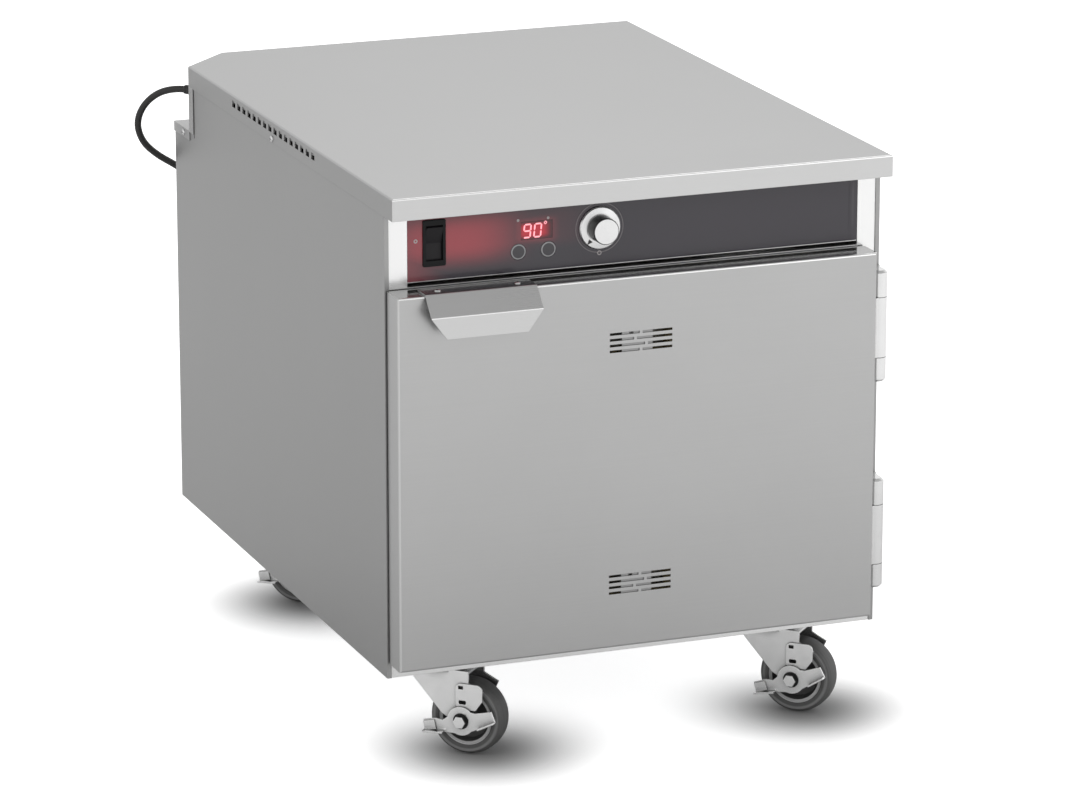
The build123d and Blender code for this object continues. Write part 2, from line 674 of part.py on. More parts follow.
def plenum_walls():
    """The four upright walls of the fan tray: the air leaves through slots in the left and right ones."""
    x, y0, y1, low = plenum_sides()
    low += SHEET
    walls = [block(-x, x, y0, y0 + SHEET, low, CHAMBER_TOP), block(-x, x, y1 - SHEET, y1, low, CHAMBER_TOP)]
    for x0, x1 in ((-x, -x + SHEET), (x - SHEET, x)):
        wall = block(x0, x1, y0 + SHEET, y1 - SHEET, low, CHAMBER_TOP)
        for number in range(-3, 4):
            slot_y = CHAMBER_MID_Y + number * PLENUM_D / 8
            wall -= block(x0 - 1, x1 + 1, slot_y - 12, slot_y + 12, low + 19, low + 33)
        walls.append(wall)
    return walls


def blower_wheel():
    """A centrifugal wheel with curved blades between a backplate and a ring, and its shaft."""
    top = CHAMBER_TOP - 8
    low = top - WHEEL_FAN_H
    radius = WHEEL_FAN_D / 2
    plate = disc(0, 0, top - 1.5, top, radius)
    ring = disc(0, 0, low, low + 1.5, radius) - disc(0, 0, low - 1, low + 3, radius - 22)
    hub = disc(0, 0, top - 16, top, 12) + disc(0, 0, top, WOOL_TOP_Z + 30, MOTOR_SHAFT_D / 2)
    wheel = join(plate, hub)
    inner, outer = radius - 22, radius - 1
    for number in range(FAN_BLADES):
        arc = ThreePointArc((inner, 0), ((inner + outer) / 2, 3.5), (outer, 0))
        back = ThreePointArc((outer, 1.4), ((inner + outer) / 2, 4.9), (inner, 1.4))
        face = make_face(Wire([*arc.edges(), *Line(arc @ 1, back @ 0).edges(), *back.edges(),
                               *Line(back @ 1, arc @ 0).edges()]))
        blade = Pos(0, 0, low + 0.5) * extrude(face, WHEEL_FAN_H - 1)
        wheel += Rot(0, 0, number * 360 / FAN_BLADES) * blade
    return Pos(0, CHAMBER_MID_Y, 0) * join(wheel, ring)


def blower_motor():
    """The fan motor, standing on the insulation over the chamber."""
    low = WOOL_TOP_Z
    flange = disc(0, CHAMBER_MID_Y, low, low + 3, MOTOR_D / 2 + 14)
    body = disc(0, CHAMBER_MID_Y, low + 3, low + 3 + MOTOR_H, MOTOR_D / 2)
    body = fillet(body.faces().sort_by(Axis.Z)[-1].edges(), 6)
    bore = disc(0, CHAMBER_MID_Y, low - 1, low + MOTOR_BORE, MOTOR_SHAFT_D / 2 + PIN_FIT)
    return join(flange, body) - bore


def temperature_probe():
    """A thin tube hung from the chamber roof by two clips."""
    y = CHAMBER_Y + CHAMBER_D - PROBE_FROM_BACK
    z = CHAMBER_TOP - PROBE_DROP
    probe = rod_x(y, z, -PROBE_L / 2, PROBE_L / 2, PROBE_D / 2)
    for x in (-PROBE_CLIPS / 2, PROBE_CLIPS / 2):
        probe += block(x - 5, x + 5, y - 1, y + 1, z + 1, CHAMBER_TOP)
    return probe


def tray_racks():
    """Two lift-out racks of angled slides for full-size trays, one against each chamber wall."""
    y0, y1 = CHAMBER_Y + RACK_END, CHAMBER_Y + CHAMBER_D - RACK_END
    wall = CHAMBER_W / 2
    z1 = CHAMBER_TOP - RACK_END
    posts = []
    for y in (y0, (y0 + y1 - RACK_POST) / 2, y1 - RACK_POST):
        posts.append(block(wall - 6, wall - FIT, y, y + RACK_POST, CHAMBER_Z + CHAMBER_R, z1))
    rack = posts
    for number in range(RACK_SLIDES):
        z = CHAMBER_Z + RACK_FIRST + number * RACK_PITCH
        ledge = block(wall - RACK_T, wall - 6, y0, y1, z, z + RACK_SHEET)
        upstand = block(wall - 6 - RACK_SHEET, wall - 6, y0, y1, z, z + 14)
        rack = rack + [ledge, upstand]
    right = join(*rack)
    return right, mirror(right, about=Plane.YZ)


# Door

def vent_slots(rise, splits):
    """Four rows of paired slots, each row split at its own place along the width."""
    slots = []
    left = VENT_MID_X - VENT_W / 2
    for number, split in enumerate(splits):
        z = VENT_MID_Z + rise + (1.5 - number) * VENT_ROW_PITCH
        middle = left + split * VENT_W
        for x0, x1 in ((left, middle - VENT_SLOT_GAP / 2), (middle + VENT_SLOT_GAP / 2, left + VENT_W)):
            slots.append((x0, x1, z - VENT_SLOT_H / 2, z + VENT_SLOT_H / 2))
    return slots


def all_vent_slots():
    mirrored = [1 - split for split in VENT_SPLITS]
    return vent_slots(VENT_RISE, VENT_SPLITS) + vent_slots(-VENT_RISE, mirrored)


def vent_windows(grow):
    """The two spaces behind the slot groups, as x0, x1, z0, z1."""
    half_w = VENT_W / 2 + grow
    half_h = 2 * VENT_ROW_PITCH + grow
    rows = []
    for rise in (VENT_RISE, -VENT_RISE):
        z = VENT_MID_Z + rise
        rows.append((VENT_MID_X - half_w, VENT_MID_X + half_w, z - half_h, z + half_h))
    return rows


def pull_screw_points():
    """Where the two screws go down through the pull's flange into the door."""
    y = DOOR_FRONT + 0.45 * PULL_FLANGE
    middle = PULL_X - X_SIDE
    return [(middle - PULL_SCREW_SPACING / 2, y), (middle + PULL_SCREW_SPACING / 2, y)]


def door_skin():
    """The outer pan of the door."""
    skin = block(DOOR_X0, DOOR_X1, DOOR_FRONT, DOOR_BACK, DOOR_Z0, DOOR_Z1)
    skin = fillet(skin.faces().sort_by(Axis.Y)[0].edges(), DOOR_EDGE_R)
    inner = block(DOOR_X0 + SHEET, DOOR_X1 - SHEET, DOOR_FRONT + SHEET, DOOR_BACK,
                  DOOR_Z0 + SHEET, DOOR_Z1 - SHEET)
    skin -= fillet(inner.faces().sort_by(Axis.Y)[0].edges(), DOOR_EDGE_R - SHEET)
    for x0, x1, z0, z1 in all_vent_slots():
        skin -= block(x0, x1, DOOR_FRONT - 1, DOOR_FRONT + 2 * SHEET, z0, z1)
    for x, y in pull_screw_points():
        skin -= disc(x, y, DOOR_Z1 - 4, DOOR_Z1 + 1, SCREW_D / 2 + FIT)
    return skin


def door_inner():
    """The inner pan, which closes the back of the door and has its own air slots."""
    inset = SHEET + FIT / 2
    x0, x1, z0, z1 = DOOR_X0 + inset, DOOR_X1 - inset, DOOR_Z0 + inset, DOOR_Z1 - inset
    pan = block(x0, x1, DOOR_BACK - DOOR_FLANGE, DOOR_BACK, z0, z1)
    pan -= block(x0 + SHEET, x1 - SHEET, DOOR_BACK - DOOR_FLANGE - 1, DOOR_BACK - SHEET,
                 z0 + SHEET, z1 - SHEET)
    for x0, x1, z0, z1 in all_vent_slots():
        pan -= block(x0, x1, DOOR_BACK - 2 * SHEET, DOOR_BACK + 1, z0, z1)
    return pan


def door_core():
    """The insulating slab between the pans, open behind the air slots."""
    inset = 2 * SHEET + FIT
    core = block(DOOR_X0 + inset, DOOR_X1 - inset, DOOR_FRONT + SHEET, DOOR_BACK - SHEET,
                 DOOR_Z0 + inset, DOOR_Z1 - 3 * inset)
    for x0, x1, z0, z1 in vent_windows(4):
        core -= block(x0, x1, DOOR_FRONT, DOOR_BACK, z0, z1)
    return core


def vent_baffles():
    """A plate behind each slot group that shuts its middle, with one round hole."""
    y0 = DOOR_FRONT + SHEET
    plates = []
    for x0, x1, z0, z1 in vent_windows(3):
        left = x0 + 3 + BAFFLE_FROM * VENT_W
        right = x0 + 3 + BAFFLE_TO * VENT_W
        plate = block(left, right, y0, y0 + SHEET, z0, z1)
        hole_z = (z0 + z1) / 2 + 1.5 * VENT_ROW_PITCH
        plates.append(plate - rod_y(x0 + 3 + BAFFLE_HOLE_AT * VENT_W, hole_z, y0 - 1, y0 + 3, 2.5))
    return plates


def door_gasket():
    """A flat rubber ring round the chamber mouth, carried by the door."""
    z = (CHAMBER_Z + CHAMBER_TOP) / 2
    inner = 2 * GASKET_INSET
    outer = inner + 2 * GASKET_W
    y0, y1 = DOOR_BACK, Y_FACE - GASKET_CLEAR
    ring = front_slab(CHAMBER_W + outer, CHAMBER_H + outer, 0, z, y0, y1, CHAMBER_R + outer / 2)
    mouth = front_slab(CHAMBER_W + inner, CHAMBER_H + inner, 0, z, y0 - 1, y1 + 1, CHAMBER_R + inner / 2)
    return ring - mouth


def near(edge, point):
    """Whether an edge along X passes a (y, z) point."""
    middle = edge.center()
    return math.hypot(middle.Y - point[0], middle.Z - point[1]) < FIT


def door_pull():
    """A bent strip: a flange on the door's top, a slanted face and a hanging lip with cut corners."""
    x = PULL_X - X_SIDE
    fold_y = DOOR_FRONT - PULL_OUT
    fold_z = DOOR_Z1 - PULL_DROP
    low = fold_z - PULL_LIP
    outer = [(DOOR_FRONT + PULL_FLANGE, DOOR_Z1 + PULL_T), (DOOR_FRONT - 0.4 * PULL_T, DOOR_Z1 + PULL_T),
             (fold_y, fold_z), (fold_y, low)]
    inner = [(fold_y + PULL_T, low), (fold_y + PULL_T, fold_z - 0.4 * PULL_T), (DOOR_FRONT, DOOR_Z1),
             (DOOR_FRONT + PULL_FLANGE, DOOR_Z1)]
    pull = side_outline(outer + inner, x - PULL_W / 2, x + PULL_W / 2)
    folds = pull.edges().filter_by(Axis.X)
    pull = fillet([edge for edge in folds if near(edge, outer[1]) or near(edge, outer[2])], PULL_T)
    for way in (-1, 1):
        edge = x + way * PULL_W / 2
        inside = edge - way * PULL_CHAMFER
        wedge = Polyline((edge, fold_y, fold_z - 1), (edge, fold_y, low - 1), (inside, fold_y, low - 1),
                         close=True)
        pull -= Pos(0, -1, 0) * extrude(make_face(wedge), 3 * PULL_T, dir=(0, 1, 0))
    for screw_x, screw_y in pull_screw_points():
        pull -= disc(screw_x, screw_y, DOOR_Z1 - 1, DOOR_Z1 + PULL_T + 1, SCREW_D / 2 + FIT)
    return pull


# Hinges

def hinge_heights():
    """The bottom of each hinge."""
    middle = Z_BASE + HINGE_MID
    return [middle + way * HINGE_SPREAD / 2 - HINGE_H / 2 for way in (-1, 1)]


def knuckle(z0, z1, x0, x1, y0, y1, peak=0.0):
    """A round knuckle on the pin's axis with a tail to the leaf, its end sloped off if asked."""
    body = join(disc(PIN_X, PIN_Y, z0, z1, KNUCKLE_R), block(x0, x1, y0, y1, z0, z1))
    if peak:
        end = body.faces().sort_by(Axis.Z)[-1 if peak > 0 else 0]
        body = chamfer(end.edges(), abs(peak))
    return body


def hinge_frame_leaves():
    """The fixed halves: a leaf on the post, a knuckle at each end and the pin between them."""
    pieces = []
    for low in hinge_heights():
        high = low + HINGE_H
        x0, x1 = PIN_X - KNUCKLE_R, PIN_X + KNUCKLE_R
        seat = Y_FACE - SHEET
        leaf = block(x0, x1, seat - LEAF_T, seat, low, high)
        pad = block(x0, X_SIDE - SHEET - HEM_W - FIT, seat, Y_FACE, low, high)
        top = knuckle(high - KNUCKLE_TOP, high, x0, x1, PIN_Y, seat, 3.0)
        bottom = knuckle(low, low + KNUCKLE_BOTTOM, x0, x1, PIN_Y, seat, -3.0)
        leaf = join(leaf, pad, top, bottom) - disc(PIN_X, PIN_Y, low + 6, high - 6, PIN_D / 2 + PIN_FIT)
        pieces += [leaf, disc(PIN_X, PIN_Y, low + 6 + PIN_FIT, high - 6 - PIN_FIT, PIN_D / 2)]
    return pieces


def hinge_door_leaves():
    """The moving halves: a middle knuckle and a leaf on the door's edge."""
    pieces = []
    for low in hinge_heights():
        z0 = low + KNUCKLE_BOTTOM + KNUCKLE_GAP
        z1 = low + HINGE_H - KNUCKLE_TOP - KNUCKLE_GAP
        half = KNUCKLE_R - 1
        tail = knuckle(z0, z1, DOOR_X1, PIN_X, PIN_Y - half, PIN_Y + half)
        leaf_y = PIN_Y - DOOR_LEAF_W / 2 + 2
        leaf = block(DOOR_X1, DOOR_X1 + LEAF_T, leaf_y, leaf_y + DOOR_LEAF_W, z0, z1)
        pieces.append(join(tail, leaf) - disc(PIN_X, PIN_Y, z0 - 1, z1 + 1, PIN_D / 2 + PIN_FIT))
    return pieces


# Screws

def dome_screw():
    """A dome-head screw with its head on z = 0 and its shank below it."""
    r = SCREW_HEAD_D / 2
    profile = [(0, -6), (SCREW_D / 2, -6), (SCREW_D / 2, 0), (r, 0), (r * 0.96, 0.3 * SCREW_HEAD_H),
               (r * 0.75, 0.72 * SCREW_HEAD_H), (r * 0.4, 0.95 * SCREW_HEAD_H), (0, SCREW_HEAD_H)]
    recess = Box(r, SCREW_SLOT, SCREW_HEAD_H) + Box(SCREW_SLOT, r, SCREW_HEAD_H)
    return turned(profile) - Pos(0, 0, SCREW_HEAD_H) * recess


def cabinet_screws():
    """Dome screws of the top cover and the corner shelf, and the caster bolts."""
    screws = []
    for x, y, z, way in flange_screw_points():
        screws.append(Pos(x, y, z) * Rot(0, 90 * way, 0) * dome_screw())
    for y, z in shelf_screw_points():
        screws.append(Pos(-X_SIDE, y, z) * Rot(0, -90, 0) * dome_screw())
    screws += [spot * dome_screw() for spot in corner_screw_places()]
    low = Z_BASE - PLATE_T
    for x, y in caster_points().values():
        for bolt_x, bolt_y in plate_bolt_points(x, y):
            outline = RegularPolygon(BOLT_AF / 2, 6, major_radius=False)
            head = Pos(bolt_x, bolt_y, low - BOLT_HEAD_H) * extrude(outline, BOLT_HEAD_H)
            screws.append(head + disc(bolt_x, bolt_y, low, Z_BASE + FRAME_SHEET + 6, AXLE_D / 2))
    return screws


def door_screws():
    """The two screws of the pull."""
    return [Pos(x, y, DOOR_Z1 + PULL_T) * dome_screw() for x, y in pull_screw_points()]


# Casters

def caster_points():
    """The swivel axis of each caster: front or rear, left or right."""
    x = X_SIDE - CASTER_IN_X
    front, rear = Y_FACE + CASTER_IN_FRONT, Y_BACK - CASTER_IN_BACK
    return {"fl": (-x, front), "fr": (x, front), "rl": (-x, rear), "rr": (x, rear)}


def plate_bolt_points(x, y):
    """The four bolt holes of one caster plate."""
    dx, dy = PLATE_BOLTS[0] / 2, PLATE_BOLTS[1] / 2
    return [(x + a * dx, y + b * dy) for a in (-1, 1) for b in (-1, 1)]


def caster_plate(x, y):
    """A pressed top plate with its upper bearing race and the kingpin riveted through it."""
    z1 = Z_BASE
    z0 = z1 - PLATE_T
    plate = Pos(x, y, z0) * extrude(RectangleRounded(PLATE_W, PLATE_D, 6), PLATE_T)
    for bolt_x, bolt_y in plate_bolt_points(x, y):
        plate -= disc(bolt_x, bolt_y, z0 - 1, z1 + 1, AXLE_D / 2 + FIT)
    r = RACE_D / 2
    race = turned([(0, 0), (r, 0), (r, -0.35 * RACE_H), (r - 5, -RACE_H), (0, -RACE_H)])
    pin_low = FORK_TOP - CROWN_T
    pin = [(0, z0), (KINGPIN_D / 2, z0), (KINGPIN_D / 2, pin_low - FIT), (KINGPIN_D / 2 + 3, pin_low - FIT),
           (KINGPIN_D / 2 + 1.5, pin_low - 4), (0, pin_low - 4)]
    return plate + Pos(x, y, z0) * race + Pos(x, y, 0) * turned(pin)


def fork_leg():
    """One fork leg seen along the axle: x from the axle, y above it."""
    top = FORK_TOP - WHEEL_R
    left = -TRAIL - 0.5 * top - 4
    shoulder = 8
    outline = Polyline((left, top), (shoulder, top), (shoulder, 45), (26, 36), (12, 5), (-12, -2),
                       (-25, 6), (-59, 44), (left, top - 2), close=True)
    return make_face(outline) + Circle(13)


def leg_windows():
    """The two stamped holes above the axle."""
    return Pos(-1, 39.5) * Rectangle(6, 4) + Pos(1, 22) * RectangleRounded(9, 4.5, 1.5)


def brake_strap():
    """The pressed strap riveted outside the braked leg, with its round top and its window."""
    strap = Pos(9, 29) * RectangleRounded(33, 31, 7)
    strap -= Polygon((16, 12), (40, 12), (40, 46), align=None)
    return strap - leg_windows()


def fork():
    """The fork in its own frame: swivel axis on Z, wheel trailing along X, brake on the -Y side."""
    outer = LEG_IN + LEG_T
    top = FORK_TOP - WHEEL_R
    leg = Plane(origin=(TRAIL, 0, WHEEL_R), x_dir=(1, 0, 0), z_dir=(0, -1, 0))
    braked = leg.offset(LEG_IN).location * extrude(fork_leg() - leg_windows(), LEG_T)
    far = leg.offset(-outer).location * extrude(fork_leg(), LEG_T)
    strap = leg.offset(outer).location * extrude(brake_strap(), STRAP_T)
    left, right = -0.5 * top - 4, TRAIL + 8
    crown = block(left, right, -outer, outer, FORK_TOP - CROWN_T, FORK_TOP)
    race = turned([(KINGPIN_D / 2 + FIT, FORK_TOP - CROWN_T), (RACE_D / 2, FORK_TOP - CROWN_T),
                   (RACE_D / 2 - 3, FORK_TOP + 0.1), (KINGPIN_D / 2 + FIT, FORK_TOP + 0.1)])
    body = join(crown, braked, far, strap, race)
    body -= disc(0, 0, FORK_TOP - CROWN_T - 1, FORK_TOP + 1, KINGPIN_D / 2 + FIT)
    return body - rod_y(TRAIL, WHEEL_R, -outer - 2, outer + 2, AXLE_D / 2 + PIN_FIT)


def hexagon_y(across, y0, y1):
    """A hexagonal head or nut on the axle."""
    face = RegularPolygon(across / 2, 6, major_radius=False)
    return Pos(TRAIL, y0, WHEEL_R) * Rot(-90, 0, 0) * extrude(face, y1 - y0)


def axle():
    """The axle bolt with the boss that the brake lever turns on, and its nut."""
    outer = LEG_IN + LEG_T
    boss_end = outer + lever_offset() + LEVER_T + LEVER_CLEAR
    boss = rod_y(TRAIL, WHEEL_R, -boss_end, -outer, LEVER_BOSS_R)
    head = hexagon_y(BOLT_AF, -boss_end - 5.5, -boss_end)
    shank = rod_y(TRAIL, WHEEL_R, -outer, outer, AXLE_D / 2)
    nut = hexagon_y(BOLT_AF, outer, outer + 7)
    return join(boss, head, shank, nut)


def lever_offset():
    """How far the brake lever stands off the fork leg, clear of the strap."""
    return STRAP_T + LEVER_CLEAR


def lever_outline():
    """Two curved arms either side of a round eye."""
    eye = Circle(17)
    right = Polyline((0, 14), (20, 7), (40, 7), (42, -6), (22, -11), (0, -16), close=True)
    left = Polyline((0, 14), (-22, 4), (-30, 7), (-46, 7), (-47, -6), (-24, -10), (0, -16), close=True)
    return eye + make_face(right) + make_face(left) - Circle(LEVER_BOSS_R + PIN_FIT)


def brake_lever(tilt):
    """A pressed two-armed foot lever with turned-out treads, round the boss on the axle."""
    inner = LEG_IN + LEG_T + lever_offset()
    plane = Plane(origin=(TRAIL, 0, WHEEL_R), x_dir=(1, 0, 0), z_dir=(0, -1, 0))
    plate = extrude(lever_outline(), LEVER_T)
    right_tread = Pos(31, -8.4, 4) * Rot(0, 0, 14) * Box(22, LEVER_T, 8)
    left_tread = Pos(-35.5, -7.4, 4.5) * Rot(0, 0, -10) * Box(25, LEVER_T, 9)
    left_end = Pos(-39, 0, 2.6) * Box(14, 11, 2.4)
    lever = join(plate, right_tread, left_tread, left_end)
    return plane.offset(inner).location * (Rot(0, 0, tilt) * lever)


def tyre():
    """The rubber tread, with a rounded crown and shoulders, on its side in the fork's frame."""
    w, r = TREAD_W / 2, WHEEL_R
    shoulder = [(RIM_R, 3), (RIM_R + 2, 1.5), (r - 5, 1), (r - 2.2, 3), (r - 0.6, 7), (r, 12)]
    profile = [(radius, inset - w) for radius, inset in shoulder]
    profile += [(radius, w - inset) for radius, inset in reversed(shoulder)]
    return Pos(TRAIL, 0, WHEEL_R) * Rot(90, 0, 0) * turned(profile)


def hub():
    """The rim, web and boss that the tread is bonded to."""
    w = TREAD_W / 2
    bore = AXLE_D / 2 + PIN_FIT
    half = HUB_W / 2
    side = [(bore, half), (HUB_R - 3, half), (HUB_R, half - 3), (HUB_R + 2, 5), (RIM_R - 6, 5),
            (RIM_R - 3, w - 3), (RIM_R, w - 3)]
    profile = [(radius, -out) for radius, out in side] + side[::-1]
    return Pos(TRAIL, 0, WHEEL_R) * Rot(90, 0, 0) * turned(profile)


def write_casters():
    plates = []
    for corner, (x, y) in caster_points().items():
        here = Pos(x, y, 0) * Rot(0, 0, SWIVEL_REST)
        plates.append(caster_plate(x, y))
        place("fork_" + corner, here * fork(), here * axle())
        place("tyre_" + corner, here * tyre())
        place("hub_" + corner, here * hub())
        place("brake_lever_" + corner, here * brake_lever(LEVER_TILT[corner]))
    place("caster_plates", *plates)


# Power cord

CORD_FLOOR = CORD_D / 2 + TIE_T + FIT
COIL_PITCH = CORD_D + COIL_GAP
COIL_OUTER_R = COIL_INNER_R + COIL_HALF_TURNS * COIL_PITCH / 2
COIL_TOP = CORD_FLOOR + CORD_D + COIL_LAYER_GAP


def cord_route():
    """The free stretch: out of the gland, round a slack loop, down the back and along the floor."""
    (x, y), (nx, ny) = corner_axis()
    exit_z = GLAND_Z
    out = GLAND_L + 14
    start = (x + nx * GLAND_L, y + ny * GLAND_L, exit_z)
    coil_x, coil_y = COIL_CENTRE
    floor_y = coil_y - COIL_OUTER_R
    return [start, (x + nx * out, y + ny * out, exit_z), (-317, 430, 630), (-332, 442, 612), (-338, 448, 589),
            (-330, 450, 565), (-311, 450, 547), (-288, 447, 533), (-266, 443, 516), (-250, 439, 492),
            (-240, 436, 455), (-230, 433, 395), (-216, 432, 310), (-200, 431, 225), (-180, 430, 150),
            (-154, 429, 92), (-120, 430, 50), (-80, 433, 20), (-36, 436, CORD_FLOOR),
            (10, floor_y, CORD_FLOOR), (coil_x - CORD_D, floor_y, CORD_FLOOR)]


def tube_along(points, radius):
    """A tube on straight runs joined by tangent arcs as large as the runs allow."""
    vectors = [Vector(*point) for point in points]
    radii = []
    for before, here, after in zip(vectors, vectors[1:], vectors[2:]):
        turn = (here - before).get_angle(after - here)
        run = min((here - before).length, (after - here).length)
        radii.append(0.45 * run / math.tan(math.radians(turn / 2)))
    path = FilletPolyline(*points, radius=radii)
    print("cord arc radii", [round(r) for r in radii], "length", round(path.length))
    section = Plane(origin=path @ 0, z_dir=path % 0) * Circle(radius)
    tube = sweep(section, path=path)
    expected = math.pi * radius ** 2 * path.length
    print("tube volume over section times length", round(tube.volume / expected, 4))
    return tube


def coil_arcs():
    """Half turns that spiral in on the floor, climb in the middle one and spiral out on top."""
    cx, cy = COIL_CENTRE
    arcs = []
    point = Vector(cx, cy - COIL_OUTER_R, CORD_FLOOR)
    side = -1
    radius = COIL_OUTER_R
    z = CORD_FLOOR
    for number in range(2 * COIL_HALF_TURNS + 1):
        climbing = number == COIL_HALF_TURNS
        end_z = COIL_TOP if number >= COIL_HALF_TURNS else CORD_FLOOR
        end = Vector(cx, point.Y - side * 2 * radius, end_z)
        middle = Vector(cx - side * radius, (point.Y + end.Y) / 2, (z + end_z) / 2)
        arcs.append(ThreePointArc(point, middle, end))
        point, z, side = end, end_z, -side
        radius += COIL_PITCH / 2 if number >= COIL_HALF_TURNS else -COIL_PITCH / 2
    return arcs


def coil_gap(arcs):
    """The least space between one turn and another, measured on points."""
    points = []
    travelled = 0.0
    for arc in arcs:
        for step in range(48):
            points.append((travelled + arc.length * step / 48, arc @ (step / 48)))
        travelled += arc.length
    least = min((a - b).length for s, a in points for t, b in points if t - s > 3 * CORD_D)
    return least - CORD_D


def cord_coil():
    arcs = coil_arcs()
    start, end = arcs[0] @ 0, arcs[-1] @ 1
    lead_in = Line(start - Vector(CORD_D, 0, 0), start)
    lead_out = Line(end, end - Vector(CORD_D, 0, 0))
    path = Wire([*lead_in.edges()] + [arc.edges()[0] for arc in arcs] + [*lead_out.edges()])
    print("coil length", round(path.length), "least gap", round(coil_gap(arcs), 2))
    section = Plane(origin=path @ 0, z_dir=path % 0) * Circle(CORD_D / 2)
    return sweep(section, path=path)


def tail_route():
    """From the top of the coil down to the floor and into the plug."""
    x, y = COIL_CENTRE
    side = y + COIL_OUTER_R
    low = CORD_FLOOR
    x -= CORD_D + CORD_JOINT
    return [(x, side, COIL_TOP), (x - 14, side, COIL_TOP), (x - 42, side + 2, low), (x - 66, side + 5, low)]


def plug():
    """A moulded plug lying on the floor, with two flat blades and a round earth pin."""
    *_, before, end = tail_route()
    heading = Vector(*end) - Vector(*before)
    neck = CORD_D / 2
    swell = CORD_FLOOR - FIT
    relief = turned([(0, 0), (neck + FIT, 0), (swell, 22), (swell, 26), (0, 26)])
    body = Pos(0, 0, 26 + PLUG_L / 2 - 9) * Box(26, 2 * CORD_FLOOR, PLUG_L - 18)
    body = fillet(body.edges(), 3)
    blades = [Pos(way * 6.35, 0, 26 + PLUG_L - 10) * Box(1.6, 6.4, 19) for way in (-1, 1)]
    pin = Pos(0, 0, 26 + PLUG_L - 9) * Cylinder(2.4, 21)
    turned_frame = Plane(origin=end, x_dir=heading.cross(Vector(0, 0, 1)), z_dir=heading)
    solid = join(relief, body)
    solids = [solid] + [blade - solid for blade in blades] + [pin - solid]
    return [turned_frame.location * piece for piece in solids]


def cord_tie():
    """A strap round the coil's turns, on the side away from the cord's ends."""
    cx, cy = COIL_CENTRE
    inner = COIL_INNER_R - CORD_D / 2 - COIL_PITCH / 2 - 1
    outer = COIL_OUTER_R + CORD_D / 2 + 1
    low, high = 0.0, COIL_TOP + CORD_D / 2 + FIT
    loop = block(cx + inner - TIE_T, cx + outer + TIE_T, cy - 6, cy + 6, low, high + TIE_T)
    return loop - block(cx + inner, cx + outer, cy - 7, cy + 7, low + TIE_T, high)


def main():
    os.makedirs("parts", exist_ok=True)
    place("top_cover", top_cover())
    place("side_panel_left", side_panel(-1))
    place("side_panel_right", side_panel(1))
    place("back_panel", back_panel())
    place("base_pan", base_pan())
    place("front_frame", front_frame())
    place("chamber_liner", chamber_liner())
    place("insulation", insulation())
    place("corner_cover", corner_cover())
    place("cord_gland", cord_gland())
    place("control_panel", control_panel())
    place("panel_overlay", panel_overlay())
    place("switch_bezel", switch_bezel())
    place("rocker", rocker())
    place("display_module", *display_module())
    place("button_left", push_button(BUTTON_XS[0]))
    place("button_right", push_button(BUTTON_XS[1]))
    place("knob_skirt", knob_skirt())
    place("knob_cap", *knob_cap())
    place("thermostat", thermostat())
    place("heating_element", heating_element())
    place("air_plenum", air_plenum())
    place("plenum_walls", *plenum_walls())
    place("blower_wheel", blower_wheel())
    place("blower_motor", blower_motor())
    place("temperature_probe", temperature_probe())
    place("tray_racks", *tray_racks())
    place("door_skin", door_skin())
    place("door_inner", door_inner())
    place("door_core", door_core())
    place("vent_baffles", *vent_baffles())
    place("door_gasket", door_gasket())
    place("door_pull", door_pull())
    place("hinge_frame_leaves", *hinge_frame_leaves())
    place("hinge_door_leaves", *hinge_door_leaves())
    place("cabinet_screws", *cabinet_screws())
    place("door_screws", *door_screws())
    write_casters()
    place("power_cord", tube_along(cord_route(), CORD_D / 2))
    place("cord_coil", cord_coil())
    place("cord_tail", tube_along(tail_route(), CORD_D / 2))
    place("plug", *plug())
    place("cord_tie", cord_tie())


main()
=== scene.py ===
import json
import math

import bpy
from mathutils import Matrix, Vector


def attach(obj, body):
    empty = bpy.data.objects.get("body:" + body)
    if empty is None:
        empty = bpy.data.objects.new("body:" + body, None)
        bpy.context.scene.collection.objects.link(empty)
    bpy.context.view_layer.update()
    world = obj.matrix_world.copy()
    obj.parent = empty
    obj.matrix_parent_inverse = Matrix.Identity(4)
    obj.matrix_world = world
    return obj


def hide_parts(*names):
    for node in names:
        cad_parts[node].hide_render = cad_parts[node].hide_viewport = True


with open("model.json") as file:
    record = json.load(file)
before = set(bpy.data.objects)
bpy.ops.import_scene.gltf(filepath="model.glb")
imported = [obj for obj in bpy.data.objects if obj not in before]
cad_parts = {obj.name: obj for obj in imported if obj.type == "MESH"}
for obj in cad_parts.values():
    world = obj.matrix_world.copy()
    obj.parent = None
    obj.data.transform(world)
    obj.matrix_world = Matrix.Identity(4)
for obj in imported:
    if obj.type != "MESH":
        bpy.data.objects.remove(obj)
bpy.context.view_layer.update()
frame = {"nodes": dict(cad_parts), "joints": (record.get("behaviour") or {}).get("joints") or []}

# The studio: a white sweep with a painted soft shadow pool where each wheel stands, an even white surround
# that is a little dimmer overhead, and three soft boxes. The camera stands well back with a long lens, as
# for a catalogue picture, so the cabinet's upright edges stay nearly parallel.
scene = bpy.context.scene
scene.view_settings.view_transform = "Standard"


def wired(tree, kind, *inputs, **settings):
    """A new node whose inputs are linked or set in their order."""
    made = tree.nodes.new(kind)
    for name, value in settings.items():
        setattr(made, name, value)
    for number, value in enumerate(inputs):
        if isinstance(value, bpy.types.NodeSocket):
            tree.links.new(value, made.inputs[number])
        elif value is not None:
            made.inputs[number].default_value = value
    return made


def sum_of(tree, operation, *inputs):
    return wired(tree, "ShaderNodeMath", *inputs, operation=operation).outputs[0]


